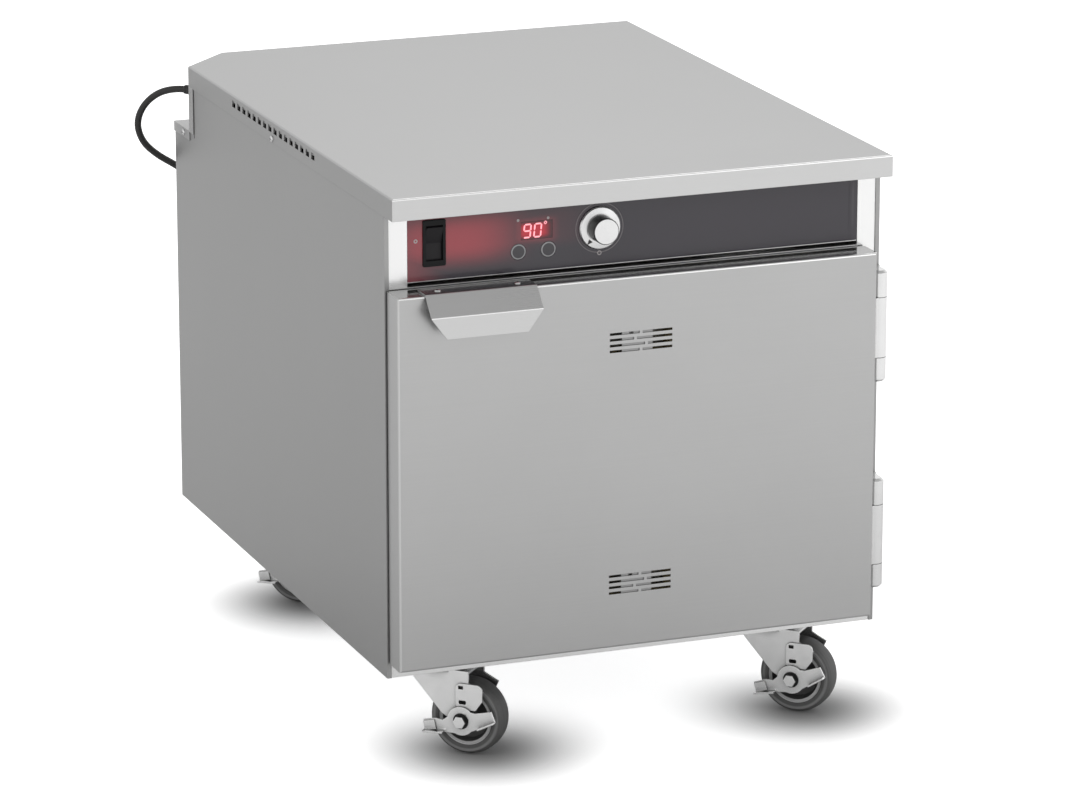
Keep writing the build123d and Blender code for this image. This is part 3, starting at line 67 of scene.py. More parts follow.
def ramp(tree, value, start, end, at_start, at_end, kind="LINEAR"):
    """Turns one range of values into another, held level past its ends."""
    bent = wired(tree, "ShaderNodeMapRange", value, start, end, at_start, at_end, interpolation_type=kind)
    return bent.outputs["Result"]


def blank_material(name):
    material = bpy.data.materials.new(name)
    material.use_nodes = True
    return material, material.node_tree, material.node_tree.nodes["Principled BSDF"]


def mesh_piece(name, vertices, faces, material=None):
    mesh = bpy.data.meshes.new(name)
    mesh.from_pydata(vertices, [], faces)
    mesh.validate()
    piece = bpy.data.objects.new(name, mesh)
    scene.collection.objects.link(piece)
    if material:
        mesh.materials.append(material)
    return piece


FLOOR_REACH = 60
FLOOR_Z = -0.0004
SHADOW_POOL_SHIFT = (0.011, -0.004)
SHADOW_POOL_CORE_R = 0.016
SHADOW_POOL_R = 0.205
KEY_SIDE = (0.5, -0.86, 0)
AMBIENT = 0.68
corners = [(x * FLOOR_REACH, y * FLOOR_REACH, FLOOR_Z) for x, y in ((-1, -1), (1, -1), (1, 1), (-1, 1))]
floor = mesh_piece("studio_floor", corners, [(0, 1, 2, 3)])
paper, tree, shader = blank_material("studio_paper")
shader.inputs["Roughness"].default_value = 0.8
shader.inputs["Specular IOR Level"].default_value = 0.1
shader.inputs["Emission Color"].default_value = (1, 1, 1, 1)
rays = tree.nodes.new("ShaderNodeLightPath")
spot = tree.nodes.new("ShaderNodeTexCoord").outputs["Object"]
# Painted shadow: a soft dark pool round each wheel's place darkens both the floor's colour and its white
# glow.
painted_shadows = 0.0
for joint in frame["joints"]:
    if joint["name"].startswith("wheel_"):
        x, y, _ = joint["pos_m"]
        middle = (x + SHADOW_POOL_SHIFT[0], y + SHADOW_POOL_SHIFT[1], 0)
        away = wired(tree, "ShaderNodeVectorMath", spot, middle, operation="DISTANCE").outputs["Value"]
        painted_shadow = ramp(tree, away, SHADOW_POOL_CORE_R, SHADOW_POOL_R, 1.0, 0.0, "SMOOTHSTEP")
        painted_shadows = sum_of(tree, "MAXIMUM", painted_shadow, painted_shadows)
painted_shadows = sum_of(tree, "POWER", painted_shadows, 1.25)
paper_white_less_painted_shadow = sum_of(tree, "MULTIPLY_ADD", painted_shadows, -0.80, 0.82)
paper_tone_less_painted_shadow = sum_of(tree, "MULTIPLY_ADD", sum_of(tree, "POWER", painted_shadows, 1.8), -0.55, 0.90)
tree.links.new(paper_tone_less_painted_shadow, shader.inputs["Base Color"])
# Painted light and shade: as seen in reflections the floor glows less near the cabinet and more towards the
# key side.
away = wired(tree, "ShaderNodeVectorMath", spot, operation="LENGTH").outputs["Value"]
far = ramp(tree, away, 0.45, 2.2, 0.0, 1.0, "SMOOTHSTEP")
toward_key = wired(tree, "ShaderNodeVectorMath", spot, KEY_SIDE, operation="DOT_PRODUCT").outputs["Value"]
lit_side = ramp(tree, toward_key, -1.2, 0.8, 0.25, 1.0)
reflected_painted_light = sum_of(tree, "MULTIPLY", sum_of(tree, "MULTIPLY", far, lit_side), 0.38)
direct = sum_of(tree, "MAXIMUM", rays.outputs["Is Camera Ray"], rays.outputs["Is Transmission Ray"])
seen = sum_of(tree, "MULTIPLY", direct, paper_white_less_painted_shadow)
strength = sum_of(tree, "MULTIPLY_ADD", rays.outputs["Is Glossy Ray"], reflected_painted_light, seen)
tree.links.new(strength, shader.inputs["Emission Strength"])
floor.data.materials.append(paper)

surround = bpy.data.worlds.new("studio_surround")
scene.world = surround
surround.use_nodes = True
tree = surround.node_tree
rays = tree.nodes.new("ShaderNodeLightPath")
aim = wired(tree, "ShaderNodeSeparateXYZ", tree.nodes.new("ShaderNodeTexCoord").outputs["Generated"])
ceiling = ramp(tree, aim.outputs["Z"], 0.30, 0.92, 1 - AMBIENT, -0.16, "SMOOTHSTEP")
direct = sum_of(tree, "MAXIMUM", rays.outputs["Is Camera Ray"], rays.outputs["Is Transmission Ray"])
seen = sum_of(tree, "MULTIPLY_ADD", direct, 1 - AMBIENT, AMBIENT)
whole = sum_of(tree, "MULTIPLY_ADD", rays.outputs["Is Glossy Ray"], ceiling, seen)
tree.links.new(whole, tree.nodes["Background"].inputs["Strength"])
tree.nodes["Background"].inputs["Color"].default_value = (1, 1, 1, 1)


def soft_box(name, place, aim, width, depth, watts):
    lamp = bpy.data.lights.new(name, "AREA")
    lamp.shape = "RECTANGLE"
    lamp.size, lamp.size_y = width, depth
    lamp.energy = watts
    holder = bpy.data.objects.new(name, lamp)
    holder.location = place
    holder.rotation_euler = (Vector(aim) - Vector(place)).to_track_quat("-Z", "Y").to_euler()
    scene.collection.objects.link(holder)


soft_box("back_rim_box", (1.1, 1.6, 2.9), (0.0, 0.0, 0.5), 2.0, 2.0, 11)
soft_box("front_right_box", (2.4, -3.0, 1.7), (0.0, -0.3, 0.4), 2.4, 2.4, 10)
soft_box("left_box", (-3.0, -0.6, 1.8), (-0.2, 0.0, 0.4), 2.0, 2.0, 4)

CAMERA_AZIMUTH = math.radians(-21.06)
CAMERA_ELEVATION = math.radians(15.75)
CAMERA_DISTANCE = 6.4346
CAMERA_TARGET = Vector((0.028547, 0.02549, 0.309879))
lens = bpy.data.cameras.new("catalogue_camera")
lens.lens = 179.79
lens.sensor_width = 36
lens.clip_end = 200
camera = bpy.data.objects.new("catalogue_camera", lens)
back = Vector((math.sin(CAMERA_AZIMUTH) * math.cos(CAMERA_ELEVATION),
               -math.cos(CAMERA_AZIMUTH) * math.cos(CAMERA_ELEVATION), math.sin(CAMERA_ELEVATION)))
camera.location = CAMERA_TARGET + back * CAMERA_DISTANCE
camera.rotation_euler = back.to_track_quat("Z", "Y").to_euler()
scene.collection.objects.link(camera)
scene.camera = camera

# The power cord: a three-core rubber lead, 8.5 mm thick, that leaves the slanted corner plate through
# a tapered relief, hangs in one slack loop, drops down the back and is wound up on the floor behind.
CORD_D = 0.0085
CORD_FLOOR = 0.00555
COIL_CENTRE = (0.060, 0.494)
COIL_PITCH = 0.0093
COIL_OUTER_R = 0.0566
COIL_HALF_TURNS = 4
COIL_TOP = 0.01475
CORD_EXIT = (-0.288799, 0.403299, 0.638)
TURN_STEPS = 6


def cord_points():
    """The lead's path: its free run, the wound turns in two layers, and the tail to the plug."""
    points = [CORD_EXIT, (-0.298698, 0.413198, 0.638), (-0.317, 0.430, 0.630),
              (-0.332, 0.442, 0.612), (-0.338, 0.448, 0.589), (-0.330, 0.450, 0.565),
              (-0.311, 0.450, 0.547), (-0.288, 0.447, 0.533), (-0.266, 0.443, 0.516),
              (-0.250, 0.439, 0.492), (-0.240, 0.436, 0.455), (-0.230, 0.433, 0.395),
              (-0.216, 0.432, 0.310), (-0.200, 0.431, 0.225), (-0.180, 0.430, 0.150),
              (-0.154, 0.429, 0.092), (-0.120, 0.430, 0.050), (-0.080, 0.433, 0.020),
              (-0.036, 0.436, CORD_FLOOR), (0.010, 0.4374, CORD_FLOOR)]
    cx, cy = COIL_CENTRE
    y = cy - COIL_OUTER_R
    side, radius = 1, COIL_OUTER_R
    for turn in range(2 * COIL_HALF_TURNS + 1):
        middle_y = y + side * radius
        for step in range(TURN_STEPS):
            along = (step + 0.5) / TURN_STEPS
            angle = math.pi * along
            reach = radius / math.cos(math.pi / 2 / TURN_STEPS)
            if turn < COIL_HALF_TURNS:
                z = CORD_FLOOR
            elif turn == COIL_HALF_TURNS:
                z = CORD_FLOOR + (COIL_TOP - CORD_FLOOR) * along
            else:
                z = COIL_TOP
            across, ahead = reach * math.sin(angle), reach * math.cos(angle)
            points.append((cx + side * across, middle_y - side * ahead, z))
        y += side * 2 * radius
        side = -side
        radius += COIL_PITCH / 2 if turn >= COIL_HALF_TURNS else -COIL_PITCH / 2
    points += [(0.0513, y, COIL_TOP), (0.0373, y, COIL_TOP)]
    points += [(0.0093, y + 0.002, CORD_FLOOR), (-0.0147, y + 0.005, CORD_FLOOR)]
    return points


lead_curve = bpy.data.curves.new("power_lead", "CURVE")
lead_curve.dimensions = "3D"
lead_curve.bevel_depth = CORD_D / 2
lead_curve.bevel_resolution = 6
lead_curve.resolution_u = 8
lead_curve.use_fill_caps = True
spline = lead_curve.splines.new("NURBS")
route = cord_points()
spline.points.add(len(route) - 1)
for point, place in zip(spline.points, route):
    point.co = (*place, 1)
spline.order_u = 3
spline.use_endpoint_u = True
power_lead = bpy.data.objects.new("power_lead", lead_curve)
scene.collection.objects.link(power_lead)


def blend_of(tree, share, first, second):
    """A colour between two others, each a socket or three numbers."""
    mixed = wired(tree, "ShaderNodeMix", share, data_type="RGBA")
    for label, colour in (("A", first), ("B", second)):
        if isinstance(colour, bpy.types.NodeSocket):
            tree.links.new(colour, mixed.inputs[label])
        else:
            mixed.inputs[label].default_value = (*colour, 1)
    return mixed.outputs["Result"]


def node_group(name, takes, gives):
    """A new shader node group with named sockets, and its input and output nodes."""
    group = bpy.data.node_groups.new(name, "ShaderNodeTree")
    for label, value in takes.items():
        size = len(value) if isinstance(value, tuple) else 1
        kind = {1: "NodeSocketFloat", 3: "NodeSocketVector", 4: "NodeSocketColor"}[size]
        socket = group.interface.new_socket(name=label, in_out="INPUT", socket_type=kind)
        socket.default_value = value
    for label in gives:
        kind = "NodeSocketColor" if label == "Color" else "NodeSocketFloat"
        group.interface.new_socket(name=label, in_out="OUTPUT", socket_type=kind)
    return group, group.nodes.new("NodeGroupInput").outputs, group.nodes.new("NodeGroupOutput").inputs


def use_group(tree, group, **values):
    """Places a node group; an argument named rough_spread sets the input Rough Spread."""
    placed = tree.nodes.new("ShaderNodeGroup")
    placed.node_tree = group
    for name, value in values.items():
        placed.inputs[name.replace("_", " ").title()].default_value = value
    return placed


def moulded_grain_group():
    takes = {"Dark": (0.02, 0.02, 0.02, 1), "Light": (0.04, 0.04, 0.04, 1), "Roughness": 0.4,
             "Rough Spread": 0.05, "Mottle Scale": 40.0, "Mottle Detail": 3.0, "Mottle Roughness": 0.5,
             "Grain Scale": 900.0}
    group, given, result = node_group("moulded_grain", takes, ("Color", "Roughness", "Height"))
    spot = group.nodes.new("ShaderNodeTexCoord").outputs["Object"]
    mottle = wired(group, "ShaderNodeTexNoise", spot, None, given["Mottle Scale"], given["Mottle Detail"],
                   given["Mottle Roughness"]).outputs["Fac"]
    group.links.new(blend_of(group, mottle, given["Dark"], given["Light"]), result["Color"])
    least = sum_of(group, "SUBTRACT", given["Roughness"], given["Rough Spread"])
    most = sum_of(group, "ADD", given["Roughness"], given["Rough Spread"])
    group.links.new(ramp(group, mottle, 0.3, 0.7, least, most), result["Roughness"])
    grain = wired(group, "ShaderNodeTexNoise", spot, None, given["Grain Scale"], 2)
    group.links.new(grain.outputs["Fac"], result["Height"])
    return group


MOULDED_GRAIN = moulded_grain_group()


def moulding(name, dark, light, rough, spread=0.05, mottle=(40, 3, 0.5), grain=900, bump=0.15,
             relief=0.00008, specular=0.5):
    """A moulded or painted finish: a faint mottle in tone and gloss, and a fine grain."""
    material, tree, shader = blank_material(name)
    look = use_group(tree, MOULDED_GRAIN, dark=(*dark, 1), light=(*light, 1), roughness=rough,
                     rough_spread=spread, mottle_scale=mottle[0], mottle_detail=mottle[1],
                     mottle_roughness=mottle[2], grain_scale=grain)
    tree.links.new(look.outputs["Color"], shader.inputs["Base Color"])
    tree.links.new(look.outputs["Roughness"], shader.inputs["Roughness"])
    raised = wired(tree, "ShaderNodeBump", bump, relief)
    tree.links.new(look.outputs["Height"], raised.inputs["Height"])
    tree.links.new(raised.outputs["Normal"], shader.inputs["Normal"])
    shader.inputs["Specular IOR Level"].default_value = specular
    return material


jacket = moulding("cord_jacket_rubber", (0.010, 0.010, 0.010), (0.022, 0.021, 0.020), 0.45, spread=0.07,
                  mottle=(60, 3, 0.5), grain=2200, bump=0.25, relief=0.00005)
lead_curve.materials.append(jacket)
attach(power_lead, "cabinet")
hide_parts("power_cord", "cord_coil", "cord_tail")

# The casing: 1.2 mm stainless sheet with a fine lengthwise polish. The top cover folds down over both
# sides, the sides hem round the front posts, and a slanted plate closes the notched back corner.


def rolled_grain_and_painted_shade_group():
    takes = {"Tone": (0.5, 0.5, 0.5, 1), "Stretch": (6, 900, 900), "Grain Depth": 0.06, "Cloud Depth": 0.08,
             "Cloud Scale": 5.0, "Seam": 1.0, "Seam Tone": 0.5, "Roughness": 0.34, "Rough Spread": 0.08}
    group, given, result = node_group("rolled_grain_and_painted_shade", takes, ("Color", "Roughness", "Height"))
    spot = group.nodes.new("ShaderNodeTexCoord").outputs["Object"]
    drawn = wired(group, "ShaderNodeVectorMath", spot, given["Stretch"], operation="MULTIPLY")
    lines = wired(group, "ShaderNodeTexNoise", drawn.outputs["Vector"], None, 1.0, 3.0, 0.65).outputs["Fac"]
    clouds = wired(group, "ShaderNodeTexNoise", spot, None, given["Cloud Scale"], 4.0, 0.55).outputs["Fac"]
    line_part = sum_of(group, "MULTIPLY", sum_of(group, "SUBTRACT", lines, 0.5), given["Grain Depth"])
    cloud_part = sum_of(group, "MULTIPLY", sum_of(group, "SUBTRACT", clouds, 0.5), given["Cloud Depth"])
    level = sum_of(group, "ADD", sum_of(group, "ADD", line_part, cloud_part), 1.0)
    # Painted shade: the colour darkens towards the given tone where the occlusion input is low.
    painted_shade_factor = ramp(group, given["Seam"], 0.35, 0.95, given["Seam Tone"], 1.0)
    level = sum_of(group, "MULTIPLY", level, painted_shade_factor)
    shade = wired(group, "ShaderNodeVectorMath", given["Tone"], operation="SCALE")
    group.links.new(level, shade.inputs["Scale"])
    group.links.new(shade.outputs["Vector"], result["Color"])
    mixed = sum_of(group, "MULTIPLY_ADD", sum_of(group, "ADD", lines, clouds), 0.5, -0.5)
    rough = sum_of(group, "MULTIPLY_ADD", mixed, given["Rough Spread"], given["Roughness"])
    group.links.new(rough, result["Roughness"])
    group.links.new(lines, result["Height"])
    return group


ROLLED_GRAIN_AND_PAINTED_SHADE = rolled_grain_and_painted_shade_group()


def steel_finish(name, tone, stretch, roughness, depth=0.06, cloud=0.08, cloud_scale=5.0, bump=0.10,
                 metallic=0.94, seam_tone=0.55, painted_shade_reach=0.008, edge=0.0006):
    """Sheet metal: its grain from the shared group, painted shade where faces meet, and softened sharp
    edges.
    """
    material, tree, shader = blank_material(name)
    grain = use_group(tree, ROLLED_GRAIN_AND_PAINTED_SHADE, tone=(tone, tone, tone * 0.997, 1), stretch=stretch,
                      grain_depth=depth, cloud_depth=cloud, cloud_scale=cloud_scale, seam_tone=seam_tone,
                      roughness=roughness)
    # Ambient occlusion darkens the colour where faces meet: painted shade.
    seam = wired(tree, "ShaderNodeAmbientOcclusion", None, painted_shade_reach, samples=6)
    tree.links.new(seam.outputs["AO"], grain.inputs["Seam"])
    tree.links.new(grain.outputs["Color"], shader.inputs["Base Color"])
    tree.links.new(grain.outputs["Roughness"], shader.inputs["Roughness"])
    rounded = wired(tree, "ShaderNodeBevel", edge, samples=4)
    relief = wired(tree, "ShaderNodeBump", bump, 0.0001)
    tree.links.new(grain.outputs["Height"], relief.inputs["Height"])
    tree.links.new(rounded.outputs["Normal"], relief.inputs["Normal"])
    tree.links.new(relief.outputs["Normal"], shader.inputs["Normal"])
    shader.inputs["Metallic"].default_value = metallic
    return material


def second_finish(node, material, chosen):
    """Gives another finish to the faces of a node that a test picks by their middle and direction."""
    mesh = frame["nodes"][node].data
    mesh.materials.append(material)
    number = len(mesh.materials) - 1
    for face in mesh.polygons:
        if chosen(face.center, face.normal):
            face.material_index = number


def dress(material, *nodes):
    """Gives whole nodes one finish."""
    for name in nodes:
        mesh = frame["nodes"][name].data
        mesh.materials.clear()
        mesh.materials.append(material)


ALONG_X = (5, 900, 900)
ALONG_Y = (900, 5, 900)
ALONG_Z = (900, 900, 5)
# One steel gets lit and shaded copies: the forward-facing lip is painted lighter and the sides painted
# darker than the top.
top_sheet = steel_finish("top_sheet_steel", 0.43, ALONG_Y, 0.34)
lip_painted_light = steel_finish("lip_sheet_steel", 0.60, ALONG_X, 0.32)
side_painted_shade = steel_finish("side_sheet_steel", 0.37, ALONG_Z, 0.36)
back_sheet = steel_finish("back_sheet_steel", 0.46, ALONG_Z, 0.36)
dress(top_sheet, "top_cover")
second_finish("top_cover", lip_painted_light, lambda middle, way: way.y < -0.97)
second_finish("top_cover", side_painted_shade, lambda middle, way: abs(way.x) > 0.97)
# A near-white, smoother copy on the forward bends paints a highlight line along them.
fold_painted_highlight = steel_finish("fold_polish_steel", 0.97, ALONG_X, 0.20, depth=0.03, cloud=0.02, seam_tone=1.0)


def level_top(middle, way):
    return way.z > 0.99


def front_fold(middle, way):
    """True on the bend between a level face and a face that looks forward."""
    return way.y < -0.15 and 0.15 < way.z < 0.99


second_finish("top_cover", fold_painted_highlight, front_fold)
# The side panels take the darker copy: painted shade.
dress(side_painted_shade, "side_panel_left", "side_panel_right")
dress(back_sheet, "back_panel", "corner_cover")

# The base pan and its two caster channels, and the panel behind the controls: galvanised sheet, folded
# and spot welded inside the casing, with the large dull flakes of a hot-dip coat.


def zinc_spangle_group():
    takes = {"Tone": (0.5, 0.5, 0.5, 1), "Flake Scale": 110.0}
    group, given, result = node_group("zinc_spangle", takes, ("Color", "Roughness"))
    spot = group.nodes.new("ShaderNodeTexCoord").outputs["Object"]
    flakes = wired(group, "ShaderNodeTexVoronoi", spot, None, given["Flake Scale"]).outputs["Distance"]
    shade = wired(group, "ShaderNodeVectorMath", given["Tone"], operation="SCALE")
    group.links.new(ramp(group, flakes, 0.0, 0.7, 0.86, 1.08), shade.inputs["Scale"])
    group.links.new(shade.outputs["Vector"], result["Color"])
    group.links.new(ramp(group, flakes, 0.0, 0.7, 0.42, 0.56), result["Roughness"])
    return group


ZINC_SPANGLE = zinc_spangle_group()


def spangle(name, tone):
    material, tree, shader = blank_material(name)
    flakes = use_group(tree, ZINC_SPANGLE, tone=(*tone, 1))
    tree.links.new(flakes.outputs["Color"], shader.inputs["Base Color"])
    tree.links.new(flakes.outputs["Roughness"], shader.inputs["Roughness"])
    shader.inputs["Metallic"].default_value = 0.85
    return material


galvanised = spangle("galvanised_sheet", (0.50, 0.51, 0.52))
dress(galvanised, "base_pan", "thermostat")

# The front frame: posts, sill and header folded from one brighter sheet, polished nearly to a mirror.
# It frames the chamber mouth and the control strip and takes the load of the hinges.
bright_post = steel_finish("bright_post_steel", 0.87, ALONG_Z, 0.22, depth=0.03, cloud=0.05, seam_tone=0.85)
dress(bright_post, "front_frame", "control_panel")

# The chamber: a welded liner with wide inner corners, wrapped in mineral wool. It holds the fan tray
# under its roof, the temperature tube and the two lift-out racks.
chamber_satin = steel_finish("chamber_satin_steel", 0.56, ALONG_Y, 0.38, cloud=0.12)
rack_satin = steel_finish("rack_satin_steel", 0.62, ALONG_Y, 0.30, cloud=0.10)
dress(chamber_satin, "chamber_liner", "air_plenum", "plenum_walls", "temperature_probe", "door_inner")
dress(rack_satin, "tray_racks")

wool, tree, shader = blank_material("mineral_wool_slab")
spot = tree.nodes.new("ShaderNodeTexCoord").outputs["Object"]
fibre = wired(tree, "ShaderNodeTexNoise", spot, None, 380, 6, 0.75).outputs["Fac"]
tone = blend_of(tree, fibre, (0.46, 0.38, 0.20), (0.78, 0.70, 0.46))
tree.links.new(tone, shader.inputs["Base Color"])
shader.inputs["Roughness"].default_value = 0.95
tuft = wired(tree, "ShaderNodeBump", 0.6, 0.002, None, fibre)
tree.links.new(tuft.outputs["Normal"], shader.inputs["Normal"])
dress(wool, "insulation", "door_core")

# The heating: a ring of sheathed tube, blued by its own heat, round a galvanised centrifugal wheel,
# with a black enamelled motor above the wool.
sheath, tree, shader = blank_material("heat_blued_sheath")
spot = tree.nodes.new("ShaderNodeTexCoord").outputs["Object"]
heat = wired(tree, "ShaderNodeTexNoise", spot, None, 18, 3).outputs["Fac"]
tree.links.new(blend_of(tree, heat, (0.10, 0.09, 0.10), (0.24, 0.19, 0.13)), shader.inputs["Base Color"])
shader.inputs["Metallic"].default_value = 0.8
shader.inputs["Roughness"].default_value = 0.5
dress(sheath, "heating_element")
dress(spangle("fan_zinc", (0.55, 0.56, 0.58)), "blower_wheel")
dress(moulding("motor_enamel", (0.018, 0.018, 0.018), (0.035, 0.035, 0.036), 0.35), "blower_motor")

# The door: two shallow stainless pans, one inside the other, round an insulating core. The outer pan
# has rounded front edges, and two groups of air slots with a plate behind their middle.
door_sheet = steel_finish("door_sheet_steel", 0.48, ALONG_X, 0.33)
# The level top faces of door and pull take a dark, smooth copy of the steel: painted shade.
door_top_painted_shade = steel_finish("door_top_steel", 0.26, ALONG_X, 0.15, depth=0.03)
dress(door_sheet, "door_skin")
second_finish("door_skin", door_top_painted_shade, level_top)
# The door's forward bends take the near-white copy, a painted highlight; its left bend takes the lighter
# lip copy, painted light.
second_finish("door_skin", fold_painted_highlight, front_fold)
second_finish("door_skin", lip_painted_light, lambda middle, way: way.x < -0.15 and way.y < -0.15)
dress(steel_finish("baffle_mill_steel", 0.40, ALONG_Z, 0.42), "vent_baffles")
dress(moulding("gasket_rubber", (0.022, 0.022, 0.022), (0.040, 0.040, 0.040), 0.62), "door_gasket")
dress(steel_finish("pull_sheet_steel", 0.60, ALONG_X, 0.28), "door_pull")
# The pull's level top is painted shade and its forward fold a painted highlight.
second_finish("door_pull", door_top_painted_shade, level_top)
second_finish("door_pull", fold_painted_highlight, lambda middle, way: way.y < -0.72 and 0.15 < way.z < 0.65)

# The hinges: cast knuckles in bright chrome plate on steel pins, one leaf on the post and one on the
# door's edge.
hinge_chrome = steel_finish("hinge_chrome_plate", 0.76, (60, 60, 60), 0.16, depth=0.03, cloud=0.12,
                            cloud_scale=30, bump=0.04, metallic=1.0, painted_shade_reach=0.004)
# The screws get a strong painted shade where faces meet.
screw_chrome = steel_finish("screw_bright_steel", 0.66, (400, 400, 400), 0.22, metallic=1.0, seam_tone=0.3,
                            painted_shade_reach=0.003, edge=0.0003)
dress(hinge_chrome, "hinge_frame_leaves", "hinge_door_leaves")
dress(screw_chrome, "cabinet_screws", "door_screws")

# The control strip: a printed film of smoky plum with a red glow in its left half, glossy on top and
# cut out round the switch, the read-out, the two keys and the knob.
OVERLAY_Y = -0.3543
GLOW = (-0.220, 0, 0.619)
LEFT_END = (-0.290, 0, 0.619)
HALO = (-0.1215, 0, 0.621)
HAZE = (-0.1215, 0, 0.624)
CURL = (0.2635, 0, 0.617)
KNOB_X, KNOB_Z = -0.0437, 0.617
OUTWARD = (0, 1, 0)
DIAL_RING_R = 0.0283


def soft_patch_group():
    """A patch on the panel that fades to nothing from Near to Far, each way from its centre."""
    takes = {"Centre": (0.0, 0.0, 0.0), "Near": (0.0, 0.0, 0.0), "Far": (1.0, 1.0, 1.0)}
    group, given, result = node_group("soft_patch", takes, ("Mask",))
    spot = group.nodes.new("ShaderNodeTexCoord").outputs["Object"]
    arm = wired(group, "ShaderNodeVectorMath", spot, given["Centre"], operation="SUBTRACT").outputs[0]
    away = wired(group, "ShaderNodeVectorMath", arm, operation="ABSOLUTE").outputs["Vector"]
    away, near, far = [wired(group, "ShaderNodeSeparateXYZ", part).outputs
                       for part in (away, given["Near"], given["Far"])]
    fades = [ramp(group, away[axis], near[axis], far[axis], 1.0, 0.0, "SMOOTHERSTEP") for axis in "XZ"]
    group.links.new(sum_of(group, "MULTIPLY", *fades), result["Mask"])
    return group


def ring_group():
    """A thin ring round an axis through a centre."""
    takes = {"Centre": (0.0, 0.0, 0.0), "Axis": (0.0, 1.0, 0.0), "Radius": 0.01, "Half Width": 0.0005,
             "Blur": 0.0002}
    group, given, result = node_group("ring_round_axis", takes, ("Mask", "Reach"))
    spot = group.nodes.new("ShaderNodeTexCoord").outputs["Object"]
    arm = wired(group, "ShaderNodeVectorMath", spot, given["Centre"], operation="SUBTRACT").outputs[0]
    turned = wired(group, "ShaderNodeVectorMath", arm, given["Axis"], operation="CROSS_PRODUCT").outputs[0]
    reach = wired(group, "ShaderNodeVectorMath", turned, operation="LENGTH").outputs["Value"]
    away = sum_of(group, "ABSOLUTE", sum_of(group, "SUBTRACT", reach, given["Radius"]))
    edge = sum_of(group, "ADD", given["Half Width"], given["Blur"])
    group.links.new(ramp(group, away, given["Half Width"], edge, 1.0, 0.0, "SMOOTHSTEP"), result["Mask"])
    group.links.new(reach, result["Reach"])
    return group


SOFT_PATCH = soft_patch_group()
RING_ROUND_AXIS = ring_group()


def patch(tree, centre, near, far):
    placed = use_group(tree, SOFT_PATCH, centre=centre, near=(near[0], 0, near[1]), far=(far[0], 0, far[1]))
    return placed.outputs["Mask"]


def ring(tree, centre, axis, radius, half_width, blur):
    placed = use_group(tree, RING_ROUND_AXIS, centre=centre, axis=axis, radius=radius,
                       half_width=half_width, blur=blur)
    return placed.outputs["Mask"]


film, tree, shader = blank_material("printed_gloss_film")
glow = patch(tree, GLOW, (0.010, 0.004), (0.112, 0.044))
left_end = sum_of(tree, "MULTIPLY", patch(tree, LEFT_END, (0.005, 1.0), (0.080, 2.0)), 0.50)
glow = sum_of(tree, "MAXIMUM", glow, left_end)
halo = sum_of(tree, "MULTIPLY", patch(tree, HALO, (0.014, 0.007), (0.034, 0.019)), 0.40)
glow = sum_of(tree, "MAXIMUM", glow, halo)
haze = patch(tree, HAZE, (0.020, 0.010), (0.085, 0.030))
glow = sum_of(tree, "MULTIPLY_ADD", haze, 0.10, glow)
ink = blend_of(tree, glow, (0.044, 0.038, 0.050), (0.47, 0.072, 0.092))
dial = ring(tree, (KNOB_X, 0, KNOB_Z), OUTWARD, DIAL_RING_R, 0.00035, 0.0002)
marks = sum_of(tree, "MULTIPLY", dial, 0.35)
for x, z, radius, half_width in ((KNOB_X, 0.5880, 0.0021, 0.0004), (-0.2615, 0.6205, 0.0017, 0.0005),
                                 (-0.1407, 0.6335, 0.0009, 0.0006), (-0.1050, 0.6335, 0.0009, 0.0006)):
    marks = sum_of(tree, "MAXIMUM", marks, ring(tree, (x, 0, z), OUTWARD, radius, half_width, 0.0002))
tree.links.new(blend_of(tree, marks, ink, (0.50, 0.46, 0.46)), shader.inputs["Base Color"])
spot = tree.nodes.new("ShaderNodeTexCoord").outputs["Object"]
wear = wired(tree, "ShaderNodeTexNoise", spot, None, 14, 4).outputs["Fac"]
tree.links.new(ramp(tree, wear, 0.35, 0.7, 0.16, 0.24), shader.inputs["Roughness"])
curl = patch(tree, CURL, (0.0, 0.012), (0.0045, 0.042))
lifted = wired(tree, "ShaderNodeBump", 1.0, 0.0012, None, curl)
tree.links.new(lifted.outputs["Normal"], shader.inputs["Normal"])
shader.inputs["Coat Weight"].default_value = 0.3
shader.inputs["Coat Roughness"].default_value = 0.08
dress(film, "panel_overlay")

# The power switch: a matt black bezel clipped into the panel, and a black rocker that tips in it.
# Both are moulded in nylon, the rocker a little glossier.
bezel_black = moulding("bezel_black", (0.006, 0.006, 0.007), (0.012, 0.012, 0.013), 0.45, specular=0.2)
rocker_black = moulding("rocker_black", (0.010, 0.009, 0.011), (0.018, 0.016, 0.018), 0.34, specular=0.25)
dress(bezel_black, "switch_bezel")
dress(rocker_black, "rocker")

# The read-out: a dark red window over three lit digits, each made of thin bars as in any seven-bar
# display, and the board behind it with the two key switches.
DISPLAY_X, DISPLAY_Z = -0.1185, 0.621
LIT_MIDDLE = (DISPLAY_X - 0.004, 0, DISPLAY_Z)
lens_red, tree, shader = blank_material("display_red_window")
lit = patch(tree, LIT_MIDDLE, (0.008, 0.003), (0.024, 0.0115))
tone = blend_of(tree, lit, (0.050, 0.012, 0.018), (0.38, 0.010, 0.022))
glare = blend_of(tree, lit, (0.02, 0.0, 0.002), (0.42, 0.012, 0.03))
tree.links.new(tone, shader.inputs["Base Color"])
tree.links.new(glare, shader.inputs["Emission Color"])
shader.inputs["Emission Strength"].default_value = 0.55
shader.inputs["Roughness"].default_value = 0.16
shader.inputs["Coat Weight"].default_value = 0.3
dress(lens_red, "display_module")

BAR_ON = {"0": "abcdef", "9": "abcdfg", "o": "abfg"}


